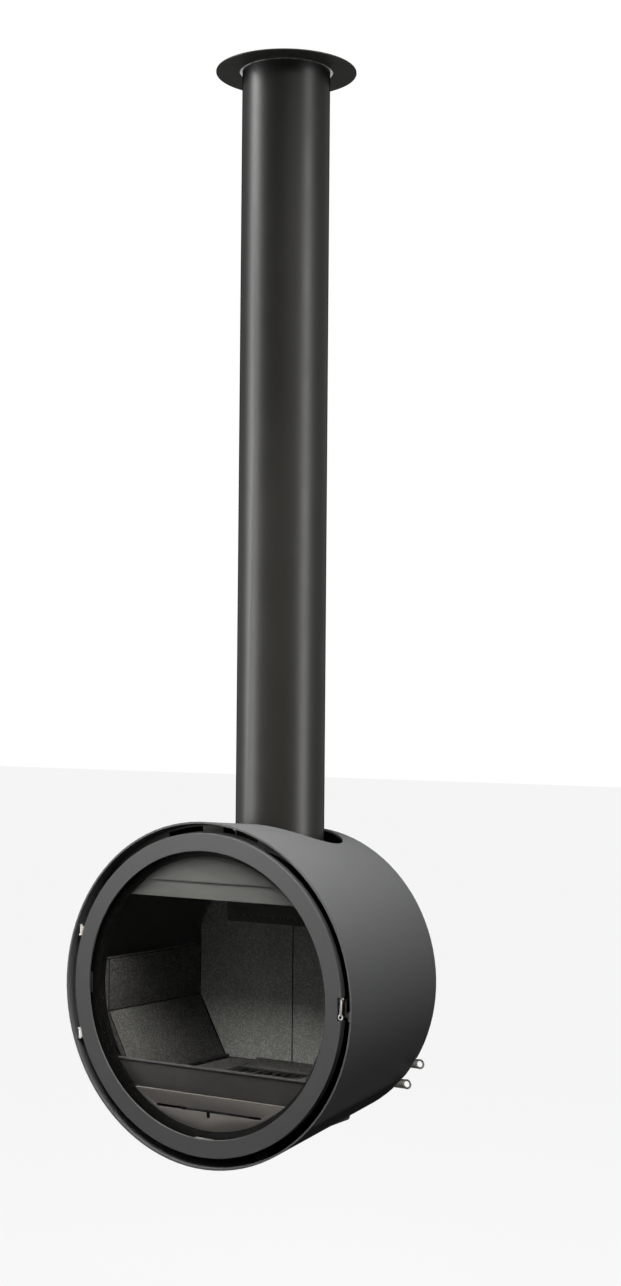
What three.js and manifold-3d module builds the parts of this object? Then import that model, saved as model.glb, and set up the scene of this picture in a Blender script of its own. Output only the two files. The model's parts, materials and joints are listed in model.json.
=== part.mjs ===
// Hanging wood stove: a round, slightly tapered steel drum that hangs on a wall bracket,
// with a round glazed door, a brick-lined firebox and a straight flue up to a ceiling rosette.
//
// Millimetres, +Z up. The origin lies on the wall, on the drum's axis. The drum's axis is Y:
// +Y points into the wall, the door faces -Y. "Depth" is measured back from the front rim.

import * as THREE from 'three';
import { mergeVertices } from 'three/addons/utils/BufferGeometryUtils.js';
import Module from 'manifold-3d';

const wasm = await Module();
wasm.setup();

// ---------------------------------------------------------------- driving dimensions

// Casing: the outer drum.
const CASING_FRONT_RADIUS = 365;
const CASING_NARROWING = 34; // less radius at the rear
const CASING_DEPTH = 430;
const CASING_WALL = 4;
const WALL_GAP = 70; // from the drum's rear edge to the room's wall

// Clearances.
const FIT = 0.3; // between pieces that touch
const RUNNING = 0.5; // between pieces that slide
const WELD = 1; // how far welded pieces run into each other

// Firebox: the welded inner drum.
const CONVECTION_GAP = 46; // between casing and firebox
const SHELL_WALL = 4;
const FLANGE_DEPTH = 24; // front face of the door seat
const FLANGE_THICKNESS = 4;
const FLANGE_WIDTH = 46;
const LIP_WALL = 4;
const LIP_LENGTH = 18;
const BACK_SETBACK = 40; // firebox back, from the drum's rear edge
const BACK_THICKNESS = 5;

// Door.
const DOOR_GAP = 20.4; // dark gap between door ring and casing
const RING_WIDTH = 37.8;
const RING_THICKNESS = 5;
const SKIRT_WALL = 4;
const SKIRT_LENGTH = 18;
const RIB_WALL = 2.5;
const RIB_LENGTH = 10;
const GLASS_THICKNESS = 4;
const GLASS_OVERLAP = 14;
const GLASS_TAPE_THICKNESS = 3;
const GLASS_TAPE_WIDTH = 10;
const ROPE_WIDTH = 11;
const ROPE_PLAY = 1.6;
const ROPE_STANDOFF = 3;
const SEAT_INSET = 4.6; // the seat's outer radius, inside the ring's
const CLIP_LENGTH = 46;
const CLIP_WIDTH = 17;
const CLIP_THICKNESS = 1.5;
const CLIP_COUNT = 4;

// Door hinges, on the left.
const HINGE_CLEARANCE = 0.62; // from its bracket to the casing
const HINGE_DEPTH = 10;
const HINGE_HEIGHT_SHARE = 0.30959; // above and below the axis, of the rim's radius
const HINGE_PIN_RADIUS = 3;
const KNUCKLE_RADIUS = 5;
const KNUCKLE_HEIGHT = 17.4;
const LUG_THICKNESS = 3;
const LEAF_THICKNESS = 3;
const LEAF_REACH = 26;

// Latch, on the right.
const LATCH_NOTCH_DEPTH = 10;
const LATCH_NOTCH_PLAY = 3.25; // above and below the lever
const LATCH_SHAFT_RADIUS = 3;
const LATCH_SHAFT_DROP = 6; // below the notch's top
const LATCH_EYE_DROP = 33; // from the shaft down to the eye
const LATCH_EYE_RADIUS = 6;
const LATCH_EYE_HOLE = 3.4;
const LATCH_ARM_WIDTH = 5;
const LATCH_THICKNESS = 3;
const LATCH_NOSE = 5;
const LATCH_INSET = 1.2; // of the shaft, inside the ring's outer radius
const LATCH_EYE_SHIFT = 1.5;
const LATCH_SETBACK = 1.5; // of the lever's face, behind the ring's
const KEEPER_CLEARANCE = 1.6; // to the casing
const PIN_PLAY = 0.1;

// Front grille behind the rim.
const GRILLE_SETBACK = 2; // behind the door's seat
const GRILLE_THICKNESS = 3;
const GRILLE_HEIGHT = 28; // at the top of its crescent
const GRILLE_HALF_ANGLE = 46; // from the vertical
const GRILLE_SLOT_SPANS = [[-111, -23], [29, 59.7], [62.7, 117]]; // left to right
const GRILLE_SLOT_HEIGHT = 11;
const GRILLE_SLOT_INSET = 4; // from the sheet's outer edge
const GRILLE_FACETS = 28;

// Lining: vermiculite panels.
const LINING_SETBACK = 1; // behind the seat's lip
const BACK_LINING = 30; // from the firebox back to the lining's face
const SIDE_LINING = 27.5; // from shell to inner face
const SIDE_TOP_SHARE = 0.1342; // heights as a share of the rim's radius
const SIDE_SEAM_SHARE = -0.1808;
const FOOT_INSET = 74; // how far the slanted panel comes in at its foot
const FOOT_THICKNESS = 12; // least, at that foot
const FLOOR_TOP_SHARE = -0.56164;
const FLOOR_BRICK_THICKNESS = 25;
const FLOOR_PLATE_THICKNESS = 3;
const BACK_PANEL_TOP_SHARE = 0.46027;
const BACK_PANEL_CORNER_GAP = 9.5;
const GRATE_HALF_SHARE = 0.25753;
const GRATE_FRONT = 110;
const GRATE_SETBACK = 78;
const GRATE_THICKNESS = 10;
const GRATE_FRAME = 12;
const GRATE_BARS = 7;
const GRATE_BAR_WIDTH = 9;
const SILL_LENGTH = 30; // ridge on the rear floor brick
const SILL_HEIGHT = 8;

// Ember rails along the foot of the slanted panels.
const RAIL_WIDTH = 17;
const RAIL_HEIGHT = 9;
const RAIL_SETBACK = 10;
const RAIL_NOTCHES = 3;
const RAIL_NOTCH_LENGTH = 9;
const RAIL_NOTCH_HEIGHT = 4;

// Front aprons and fence, seen through the glass below the fire.
const FENCE_DEPTH = 31;
const FENCE_THICKNESS = 3;
const FENCE_TOP_SHARE = -0.43288;
const FENCE_LIP_RADIUS = 4;
const APRON_DEPTH = 24.5;
const APRON_THICKNESS = 3;
const APRON_TOP_SHARE = -0.59452;
const APRON_SLOT_MARGIN = 14.6; // to the mouth at each end
const APRON_SLOT_DROP = 32; // below the apron's top
const APRON_SLOT_HEIGHT = 6;
const APRON_NOTCH_WIDTH = 10;
const APRON_NOTCH_HEIGHT = 12;

// Air-wash deflector above the fire, and the parts behind it.
const DEFLECTOR_FOLD_SHARE = 0.6411;
const DEFLECTOR_HEIGHT = 36;
const DEFLECTOR_THICKNESS = 3;
const DEFLECTOR_STEP = 4;
const MANIFOLD_HALF_SHARE = 0.47945;
const MANIFOLD_BOTTOM_SHARE = 0.30411;
const MANIFOLD_GAP = 1; // under the baffle
const MANIFOLD_DEPTH = 8;
const MANIFOLD_WALL = 1.5;
const MANIFOLD_HOLE_RISE = 14.5;
const MANIFOLD_HOLE_RADIUS = 2;
const MANIFOLD_HOLE_PITCH = 20;
const BAFFLE_THICKNESS = 25;
const BAFFLE_FRONT = 110;
const BAFFLE_FRONT_RISE = 52;
const BAFFLE_LEDGE_WIDTH = 22;
const BAFFLE_LEDGE_THICKNESS = 4;

// Ash pan under the grate.
const PAN_HALF_SHARE = 0.22466;
const PAN_CLEARANCE = 6; // under the floor plate
const PAN_SIDE_ROOM = 13.33; // to the shell, beside its rear foot
const PAN_WALL = 2;
const PAN_FRONT = 60;
const PAN_OVERHANG = 18; // behind the grate
const SHELF_THICKNESS = 3;

// Flue.
const FLUE_RADIUS = 100;
const FLUE_WALL = 3;
const FLUE_SETBACK = 130; // flue axis, from the drum's rear edge
const FLUE_REACH = 12; // above the ceiling
const OUTLET_RADIUS = 74; // bore of the outlet under the pipe
const SADDLE_WIDTH = 14;
const COLLAR_LENGTH = 42; // inside the pipe
const COLLAR_WALL = 4;
const COLLAR_RISE = 11.7; // from the firebox's top to the pipe's foot
const COLLAR_SHOULDER_HEIGHT = 6;
const FLUE_HOLE_GAP_LEFT = 7; // round the flue, where it enters the casing's oval hole
const FLUE_HOLE_GAP_RIGHT = 48;
const FLUE_HOLE_GAP_DEPTH = 15;

// Ceiling rosette.
const CEILING = 2053;
const ROSETTE_RADIUS = 160;
const ROSETTE_THICKNESS = 3;
const ROSETTE_GAP = 6;

// Air chest at the rear, with its two slides.
const CHEST_HALF_WIDTH = 113;
const CHEST_INSET = 5; // from the drum's rear radius
const CHEST_ROOM = 14; // above the upper slide's guide
const CHEST_WALL = 2.5;
const CHEST_CORNER = 9;
const DUCT_LENGTH = 205;
const DUCT_CLEARANCE = 2.8; // under the firebox
const PRIMARY_RISE = 96; // above the chest's floor
const SECONDARY_RISE = 144;
const SLIDE_THICKNESS = 2.5;
const SLIDE_PLATE_HEIGHT = 30;
const SLIDE_PLATE_START = -98;
const SLIDE_PLATE_LENGTH = 164;
const SLIDE_BAR_HEIGHT = 21;
const PRIMARY_EYE_REACH = 23.04; // beyond the drum
const SECONDARY_EYE_REACH = 17;
const TAB_EYE_RADIUS = 11.2;
const TAB_HOLE_RADIUS = 6.8;
const AIR_SLOT_COUNT = 4;
const AIR_SLOT_WIDTH = 14;
const AIR_SLOT_HEIGHT = 16;
const AIR_SLOT_PITCH = 40;
const GUIDE_LIP = 3;
const TAB_NOTCH_CLEARANCE = 1.5;

// Rear cover.
const COVER_INSET = 2.4;
const COVER_THICKNESS = 2;
const COVER_VENT_COUNT = 7;
const COVER_VENT_LENGTH = 110;
const COVER_VENT_HEIGHT = 8;
const COVER_VENT_PITCH = 20;
const COVER_VENT_TOP_SHARE = 0.68493;
const COVER_SLOT_WIDTH = 16;

// Spacers between firebox and casing.
const SPACER_WIDTH = 30;
const SPACER_SHEET = 3;
const FRONT_SPACER_ANGLES = [68, 112, 248, 292];
const REAR_SPACER_ANGLES = [20, 55, 125, 160, 200, 340];
const SPACER_TAB = 18;
const SPACER_FOOT = 30;
const SCREW_RADIUS = 3;

// Wall bracket.
const PLATE_HALF_WIDTH = 150;
const PLATE_BOTTOM = -90;
const PLATE_TOP = 170;
const PLATE_THICKNESS = 6;
const ARM_X = 100;
const ARM_THICKNESS = 6;
const ARM_BOTTOM = -60;
const ARM_TOP = 132;
const HANG_BAR_SIZE = 20;
const HANG_BAR_BOTTOM = 92;
const HANG_BAR_HALF = 128;
const HANG_FOOT_X = 62;
const HANG_FOOT_WIDTH = 30;
const HANG_STANDOFF = 8;
const ANCHOR_RADIUS = 5;
const ANCHOR_HEAD_RADIUS = 8.5;
const ANCHOR_HEAD_HEIGHT = 6;
const ANCHOR_INSET = 20;

// Facets per full turn.
const FINE = 96;
const MEDIUM = 64;
const COARSE = 40;
const SMALL = 16;

// ---------------------------------------------------------------- derived sizes

const CASING_REAR_RADIUS = CASING_FRONT_RADIUS - CASING_NARROWING;
const BACK_DEPTH = CASING_DEPTH - BACK_SETBACK;
const COVER_DEPTH = CASING_DEPTH - COVER_INSET;
const FLUE_DEPTH = CASING_DEPTH - FLUE_SETBACK;
const LINING_REAR = BACK_DEPTH - BACK_LINING;
const GRATE_REAR = LINING_REAR - GRATE_SETBACK;
const SILL_FRONT = LINING_REAR - SILL_LENGTH;
const RAIL_END = LINING_REAR - RAIL_SETBACK;
const PAN_REAR = GRATE_REAR + PAN_OVERHANG;
const DUCT_FRONT = CASING_DEPTH - DUCT_LENGTH;

const ofRadius = (share) => share * CASING_FRONT_RADIUS;
const SIDE_TOP = ofRadius(SIDE_TOP_SHARE);
const SIDE_SEAM = ofRadius(SIDE_SEAM_SHARE);
const FLOOR_TOP = ofRadius(FLOOR_TOP_SHARE);
const BACK_PANEL_TOP = ofRadius(BACK_PANEL_TOP_SHARE);
const GRATE_HALF_WIDTH = ofRadius(GRATE_HALF_SHARE);
const FENCE_TOP = ofRadius(FENCE_TOP_SHARE);
const APRON_TOP = ofRadius(APRON_TOP_SHARE);
const APRON_SLOT_Z = APRON_TOP - APRON_SLOT_DROP;
const DEFLECTOR_FOLD = ofRadius(DEFLECTOR_FOLD_SHARE);
const DEFLECTOR_BOTTOM = DEFLECTOR_FOLD - DEFLECTOR_HEIGHT;
const MANIFOLD_HALF = ofRadius(MANIFOLD_HALF_SHARE);
const MANIFOLD_BOTTOM = ofRadius(MANIFOLD_BOTTOM_SHARE);
const MANIFOLD_HOLE_Z = MANIFOLD_BOTTOM + MANIFOLD_HOLE_RISE;
const PAN_HALF_WIDTH = ofRadius(PAN_HALF_SHARE);
const COVER_VENT_TOP = ofRadius(COVER_VENT_TOP_SHARE);
const HINGE_HEIGHT = ofRadius(HINGE_HEIGHT_SHARE);
const GRILLE_DEPTH = FLANGE_DEPTH + FLANGE_THICKNESS + GRILLE_SETBACK;
const LINING_FRONT = FLANGE_DEPTH + LIP_LENGTH + LINING_SETBACK;

const FRONT_Y = -(WALL_GAP + CASING_DEPTH);
const TAPER = (CASING_REAR_RADIUS - CASING_FRONT_RADIUS) / CASING_DEPTH;

const atDepth = (depth) => FRONT_Y + depth;
const casingOuter = (depth) => CASING_FRONT_RADIUS + TAPER * depth;
const casingInner = (depth) => casingOuter(depth) - CASING_WALL;
const shellOuter = (depth) => casingInner(depth) - CONVECTION_GAP;
const shellInner = (depth) => shellOuter(depth) - SHELL_WALL;
const chord = (radius, height) => Math.sqrt(Math.max(radius * radius - height * height, 1));

const DOOR_RADIUS = CASING_FRONT_RADIUS - CASING_WALL - DOOR_GAP;
const WINDOW_RADIUS = DOOR_RADIUS - RING_WIDTH;
const GLASS_RADIUS = WINDOW_RADIUS + GLASS_OVERLAP;
const SHELL_FRONT = FLANGE_DEPTH + FLANGE_THICKNESS + FIT;
const SHELL_REAR = BACK_DEPTH - FIT;
const FLANGE_OUTER = DOOR_RADIUS - SEAT_INSET;
const HINGE_HALF = KNUCKLE_HEIGHT / 2 + RUNNING / 2 + LUG_THICKNESS;
const HINGE_REACH = chord(casingInner(FLANGE_DEPTH) - HINGE_CLEARANCE, HINGE_HEIGHT + HINGE_HALF);
const HINGE_X = KNUCKLE_RADIUS - HINGE_REACH;
const MOUTH_RADIUS = FLANGE_OUTER - FLANGE_WIDTH;
const APRON_SLOT_HALF = chord(MOUTH_RADIUS, APRON_SLOT_Z) - APRON_SLOT_MARGIN;
const LATCH_X = DOOR_RADIUS - LATCH_INSET;
const KEEPER_INNER = LATCH_X + LATCH_ARM_WIDTH / 2 + LATCH_NOSE + RUNNING;
const LATCH_LENGTH = LATCH_EYE_DROP + LATCH_EYE_RADIUS + LATCH_ARM_WIDTH / 2;
const LATCH_NOTCH_HALF = LATCH_LENGTH / 2 + LATCH_NOTCH_PLAY;
const LATCH_SHAFT_HEIGHT = LATCH_NOTCH_HALF - LATCH_SHAFT_DROP;
const CASING_AT_KEEPER = chord(casingInner(FLANGE_DEPTH + FLANGE_THICKNESS), LATCH_NOTCH_HALF);
const KEEPER_OUTER = CASING_AT_KEEPER - KEEPER_CLEARANCE;
const FLUE_Y = atDepth(FLUE_DEPTH);
const FLOOR_BOTTOM = FLOOR_TOP - FLOOR_BRICK_THICKNESS;
const PAN_TOP = FLOOR_BOTTOM - FLOOR_PLATE_THICKNESS - PAN_CLEARANCE;
const PAN_BOTTOM = -chord(shellInner(PAN_REAR), PAN_HALF_WIDTH + PAN_SIDE_ROOM);
const BACK_PANEL_CORNER_RADIUS = shellInner(LINING_REAR) - BACK_PANEL_CORNER_GAP;
const COLLAR_SHOULDER = shellOuter(FLUE_DEPTH) + COLLAR_RISE;
const COLLAR_TOP = COLLAR_SHOULDER + COLLAR_LENGTH;
const FLUE_TOP = CEILING + FLUE_REACH;
const CHEST_BOTTOM = CHEST_INSET - CASING_REAR_RADIUS;
const PRIMARY_Z = CHEST_BOTTOM + PRIMARY_RISE;
const SECONDARY_Z = CHEST_BOTTOM + SECONDARY_RISE;
const CHEST_TOP = SECONDARY_Z + SLIDE_PLATE_HEIGHT / 2 + RUNNING + CHEST_WALL + CHEST_ROOM;
const PRIMARY_EYE_X = chord(CASING_REAR_RADIUS, PRIMARY_Z) + PRIMARY_EYE_REACH;
const SECONDARY_EYE_X = chord(CASING_REAR_RADIUS, SECONDARY_Z) + SECONDARY_EYE_REACH;

// ---------------------------------------------------------------- materials

const paint = (color, roughness) => new THREE.MeshStandardMaterial({ color, roughness, metalness: 0.4 });
const steel = (color, roughness) => new THREE.MeshStandardMaterial({ color, roughness, metalness: 1 });
const matt = (color) => new THREE.MeshStandardMaterial({ color, roughness: 0.95, metalness: 0 });

const ANTHRACITE = () => paint(0x4a4a4b, 0.55);
const BLACK = () => paint(0x1c1c1d, 0.6);
const DARK_STEEL = () => paint(0x2b2b2c, 0.7);
const BARE_STEEL = () => steel(0xb9b6ae, 0.35);
const ZINC = () => steel(0x9a9a98, 0.45);
const IRON = () => paint(0x303031, 0.8);
const VERMICULITE = () => matt(0x8d887b);
const ROPE = () => matt(0x3a3a39);
const GLASS = () => new THREE.MeshStandardMaterial({
  color: 0x9fa3a4,
  roughness: 0.05,
  metalness: 0,
  transparent: true,
  opacity: 0.3,
});

// ---------------------------------------------------------------- shape helpers

const object = new THREE.Group();

// Shared vertices, position only, faces outwards.
function closed(geometry) {
  const bare = geometry.index ? geometry.toNonIndexed() : geometry.clone();
  bare.deleteAttribute('normal');
  bare.deleteAttribute('uv');
  const merged = mergeVertices(bare, 1e-4);
  const index = merged.index.array;
  const at = merged.attributes.position.array;
  const kept = [];
  let volume = 0;
  for (let i = 0; i < index.length; i += 3) {
    const [a, b, c] = [index[i], index[i + 1], index[i + 2]];
    if (a === b || b === c || c === a) continue;
    kept.push(a, b, c);
    const [ax, ay, az] = at.subarray(3 * a, 3 * a + 3);
    const [bx, by, bz] = at.subarray(3 * b, 3 * b + 3);
    const [cx, cy, cz] = at.subarray(3 * c, 3 * c + 3);
    volume += ax * (by * cz - bz * cy) + ay * (bz * cx - bx * cz) + az * (bx * cy - by * cx);
  }
  if (volume < 0) kept.reverse();
  merged.setIndex(kept);
  return merged;
}

function solid(geometry) {
  const shape = closed(geometry);
  return new wasm.Manifold(new wasm.Mesh({
    numProp: 3,
    vertProperties: new Float32Array(shape.attributes.position.array),
    triVerts: new Uint32Array(shape.index.array),
  }));
}

function asGeometry(manifold) {
  const mesh = manifold.getMesh();
  const geometry = new THREE.BufferGeometry();
  geometry.setAttribute('position', new THREE.BufferAttribute(new Float32Array(mesh.vertProperties), 3));
  geometry.setIndex(Array.from(mesh.triVerts));
  return geometry;
}

const joined = (solids) => solids.reduce((whole, next) => whole.add(next));
const cut = (body, tools) => tools.reduce((rest, tool) => rest.subtract(tool), body);

function add(name, material, shape) {
  const geometry = shape instanceof THREE.BufferGeometry ? closed(shape) : asGeometry(shape);
  const mesh = new THREE.Mesh(geometry, material);
  mesh.name = name;
  object.add(mesh);
}

function box(x0, x1, y0, y1, z0, z1) {
  const geometry = new THREE.BoxGeometry(x1 - x0, y1 - y0, z1 - z0);
  geometry.translate((x0 + x1) / 2, (y0 + y1) / 2, (z0 + z1) / 2);
  return geometry;
}

// A body turned about the drum's axis from [radius, depth] points.
function turned(points, facets) {
  const profile = points.map(([radius, depth]) => new THREE.Vector2(radius, atDepth(depth)));
  const geometry = new THREE.LatheGeometry([...profile, profile[0]], facets);
  geometry.rotateY(Math.PI / facets);
  return geometry;
}

// A body turned about a vertical line from [radius, height] points.
function upright(points, facets, x, y) {
  const profile = points.map(([radius, height]) => new THREE.Vector2(radius, height));
  const geometry = new THREE.LatheGeometry([...profile, profile[0]], facets);
  geometry.rotateX(Math.PI / 2);
  geometry.translate(x, y, 0);
  return geometry;
}

const ring = (inner, outer, low, high) => [[inner, low], [outer, low], [outer, high], [inner, high]];
const disc = (radius, low, high) => [[0, low], [radius, low], [radius, high], [0, high]];

const extruded = (shape, depth, curveSegments = 8) => (
  new THREE.ExtrudeGeometry(shape, { depth, bevelEnabled: false, curveSegments })
);

// An [x, z] outline, from one depth to another.
function facing(shape, depth, thickness) {
  const geometry = extruded(shape, thickness);
  geometry.rotateX(Math.PI / 2);
  geometry.translate(0, atDepth(depth) + thickness, 0);
  return geometry;
}

// A [depth, z] outline, from x to x + width.
function sideways(shape, x, width) {
  const geometry = extruded(shape, width);
  const basis = new THREE.Matrix4().makeBasis(
    new THREE.Vector3(0, 1, 0),
    new THREE.Vector3(0, 0, 1),
    new THREE.Vector3(1, 0, 0),
  );
  geometry.applyMatrix4(basis);
  geometry.translate(x, FRONT_Y, 0);
  return geometry;
}

function outline(points) {
  return new THREE.Shape(points.map(([a, b]) => new THREE.Vector2(a, b)));
}

function roundedSlot(x, z, halfWidth, halfHeight) {
  const shape = new THREE.Shape();
  shape.absarc(x + halfWidth - halfHeight, z, halfHeight, -Math.PI / 2, Math.PI / 2);
  shape.absarc(x - halfWidth + halfHeight, z, halfHeight, Math.PI / 2, 1.5 * Math.PI);
  return shape;
}

// A cylinder along the drum's axis, between two depths.
function pinAlongY(x, z, radius, from, to, facets = SMALL) {
  const geometry = new THREE.CylinderGeometry(radius, radius, to - from, facets);
  geometry.translate(x, atDepth((from + to) / 2), z);
  return geometry;
}

function pinUpright(x, y, radius, low, high, facets = SMALL) {
  const geometry = new THREE.CylinderGeometry(radius, radius, high - low, facets);
  geometry.rotateX(Math.PI / 2);
  geometry.translate(x, y, (low + high) / 2);
  return geometry;
}

// A prism whose two [x, z] ends may differ, from one depth to another.
function lofted(frontEnd, rearEnd, from, to) {
  const corners = frontEnd.map(([x, z]) => new THREE.Vector2(x, z));
  const clockwise = THREE.ShapeUtils.isClockWise(corners);
  const front = clockwise ? [...frontEnd].reverse() : frontEnd;
  const rear = clockwise ? [...rearEnd].reverse() : rearEnd;
  const count = front.length;
  const faces = THREE.ShapeUtils.triangulateShape(front.map(([x, z]) => new THREE.Vector2(x, z)), []);
  const positions = [];
  const push = (end, depth, i) => positions.push(end[i][0], atDepth(depth), end[i][1]);
  for (const [a, b, c] of faces) {
    [a, b, c].forEach((i) => push(front, from, i));
    [a, c, b].forEach((i) => push(rear, to, i));
  }
  for (let i = 0; i < count; i += 1) {
    const next = (i + 1) % count;
    push(front, from, i);
    push(rear, to, i);
    push(front, from, next);
    push(front, from, next);
    push(rear, to, i);
    push(rear, to, next);
  }
  const geometry = new THREE.BufferGeometry();
  geometry.setAttribute('position', new THREE.Float32BufferAttribute(positions, 3));
  return geometry;
}

const mirrored = (points) => points.map(([x, z]) => [-x, z]).reverse();

// The conical space inside the firebox shell, less a fit.
function insideShell(gap = FIT) {
  return solid(turned([
    [0, FLANGE_DEPTH],
    [shellInner(FLANGE_DEPTH) - gap, FLANGE_DEPTH],
    [shellInner(BACK_DEPTH - FIT) - gap, BACK_DEPTH - FIT],
    [0, BACK_DEPTH - FIT],
  ], FINE));
}

const insideMouth = () => solid(turned(disc(MOUTH_RADIUS - FIT, 0, LINING_FRONT), FINE));

// ---------------------------------------------------------------- air chest and slides

const CHEST_REAR = CASING_DEPTH;
const CHEST_FRONT = BACK_DEPTH + BACK_THICKNESS + FIT;
const SLIDE_REAR = CHEST_REAR - CHEST_WALL - FIT;
const SLIDE_FRONT = SLIDE_REAR - SLIDE_THICKNESS;
const DUCT_TOP = -shellOuter(DUCT_FRONT) - DUCT_CLEARANCE;
const DUCT_HEIGHT = DUCT_TOP - CHEST_BOTTOM;
const PARTITION_Z = (PRIMARY_Z + SECONDARY_Z) / 2;
const SLIDES = [
  { name: 'primary_air', z: PRIMARY_Z, eye: PRIMARY_EYE_X },
  { name: 'secondary_air', z: SECONDARY_Z, eye: SECONDARY_EYE_X },
];

const airSlotCentre = (i) => {
  const middle = SLIDE_PLATE_START + SLIDE_PLATE_LENGTH / 2;
  return middle + (i - (AIR_SLOT_COUNT - 1) / 2) * AIR_SLOT_PITCH;
};

function chestOutline(inset) {
  const bottom = CHEST_BOTTOM + inset;
  const rear = CHEST_REAR - inset;
  const corner = CHEST_CORNER - inset;
  const shape = new THREE.Shape();
  shape.moveTo(DUCT_FRONT + inset, bottom);
  shape.lineTo(rear - corner, bottom);
  shape.absarc(rear - corner, bottom + corner, corner, -Math.PI / 2, 0);
  shape.lineTo(rear, CHEST_TOP - inset);
  shape.lineTo(CHEST_FRONT + inset, CHEST_TOP - inset);
  shape.lineTo(CHEST_FRONT + inset, DUCT_TOP - inset);
  shape.lineTo(DUCT_FRONT + inset, DUCT_TOP - inset);
  return shape;
}

function airChest() {
  const inner = CHEST_HALF_WIDTH - CHEST_WALL;
  const body = solid(sideways(chestOutline(0), -CHEST_HALF_WIDTH, 2 * CHEST_HALF_WIDTH));
  const hollow = solid(sideways(chestOutline(CHEST_WALL), -inner, 2 * inner));
  const partition = solid(box(
    -inner - 1,
    inner + 1,
    atDepth(CHEST_FRONT + CHEST_WALL) - 1,
    atDepth(SLIDE_FRONT) - RUNNING - GUIDE_LIP - CHEST_WALL,
    PARTITION_Z - CHEST_WALL / 2,
    PARTITION_Z + CHEST_WALL / 2,
  ));
  const cuts = [];
  for (const { z } of SLIDES) {
    for (let i = 0; i < AIR_SLOT_COUNT; i += 1) {
      const slot = roundedSlot(airSlotCentre(i), z, AIR_SLOT_WIDTH / 2, AIR_SLOT_WIDTH / 2 - RUNNING);
      cuts.push(solid(facing(slot, CHEST_REAR - CHEST_WALL - 1, CHEST_WALL + 2)));
    }
    cuts.push(solid(box(
      inner - 1,
      CHEST_HALF_WIDTH + 1,
      atDepth(SLIDE_FRONT) - RUNNING,
      atDepth(SLIDE_REAR) + FIT,
      z - SLIDE_BAR_HEIGHT / 2 - RUNNING,
      z + SLIDE_BAR_HEIGHT / 2 + RUNNING,
    )));
  }
  const ductSlot = roundedSlot(0, 0, CHEST_HALF_WIDTH / 2, DUCT_HEIGHT / 4);
  const ductMouth = facing(ductSlot, DUCT_FRONT - 1, CHEST_WALL + 2);
  ductMouth.translate(0, 0, CHEST_BOTTOM + DUCT_HEIGHT / 2);
  cuts.push(solid(ductMouth));
  const chest = joined([body.subtract(hollow), partition, ...slideGuides()]);
  add('air_chest', BLACK(), cut(chest, cuts));
}

function slideGuides() {
  const guides = [];
  const rear = SLIDE_REAR + FIT + WELD;
  const front = SLIDE_FRONT - RUNNING - CHEST_WALL;
  const edge = SLIDE_PLATE_HEIGHT / 2 + RUNNING;
  const half = CHEST_HALF_WIDTH - CHEST_WALL + WELD;
  for (const { z } of SLIDES) {
    for (const side of [-1, 1]) {
      const guide = outline([
        [rear, z + side * edge],
        [rear, z + side * (edge + CHEST_WALL)],
        [front, z + side * (edge + CHEST_WALL)],
        [front, z + side * (edge - GUIDE_LIP)],
        [front + CHEST_WALL, z + side * (edge - GUIDE_LIP)],
        [front + CHEST_WALL, z + side * edge],
      ]);
      guides.push(solid(sideways(guide, -half, 2 * half)));
    }
  }
  return guides;
}

function airSlide({ name, z, eye }) {
  const plateEnd = SLIDE_PLATE_START + SLIDE_PLATE_LENGTH;
  const thick = [atDepth(SLIDE_FRONT), atDepth(SLIDE_REAR)];
  const bar = SLIDE_BAR_HEIGHT / 2;
  const plate = box(
    SLIDE_PLATE_START,
    plateEnd,
    ...thick,
    z - SLIDE_PLATE_HEIGHT / 2,
    z + SLIDE_PLATE_HEIGHT / 2,
  );
  const strip = box(plateEnd - WELD, eye, ...thick, z - bar, z + bar);
  const end = pinAlongY(eye, z, TAB_EYE_RADIUS, SLIDE_FRONT, SLIDE_REAR, MEDIUM / 2);
  const eyeHole = pinAlongY(eye, z, TAB_HOLE_RADIUS, SLIDE_FRONT - 1, SLIDE_REAR + 1, MEDIUM / 2);
  const slots = [];
  for (let i = 1; i < AIR_SLOT_COUNT; i += 1) {
    const x = airSlotCentre(i) - AIR_SLOT_PITCH / 2;
    slots.push(solid(box(
      x - AIR_SLOT_WIDTH / 2,
      x + AIR_SLOT_WIDTH / 2,
      thick[0] - 1,
      thick[1] + 1,
      z - AIR_SLOT_HEIGHT / 2,
      z + AIR_SLOT_HEIGHT / 2,
    )));
  }
  const blank = joined([solid(plate), solid(strip), solid(end)]);
  add(`${name}_slide`, BARE_STEEL(), cut(blank, [solid(eyeHole), ...slots]));
}

// ---------------------------------------------------------------- casing

function tabNotch({ z }) {
  const half = SLIDE_BAR_HEIGHT / 2 + TAB_NOTCH_CLEARANCE;
  return solid(box(
    CHEST_HALF_WIDTH,
    CASING_FRONT_RADIUS,
    atDepth(SLIDE_FRONT - TAB_NOTCH_CLEARANCE),
    atDepth(CASING_DEPTH) + 1,
    z - half,
    z + half,
  ));
}

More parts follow.
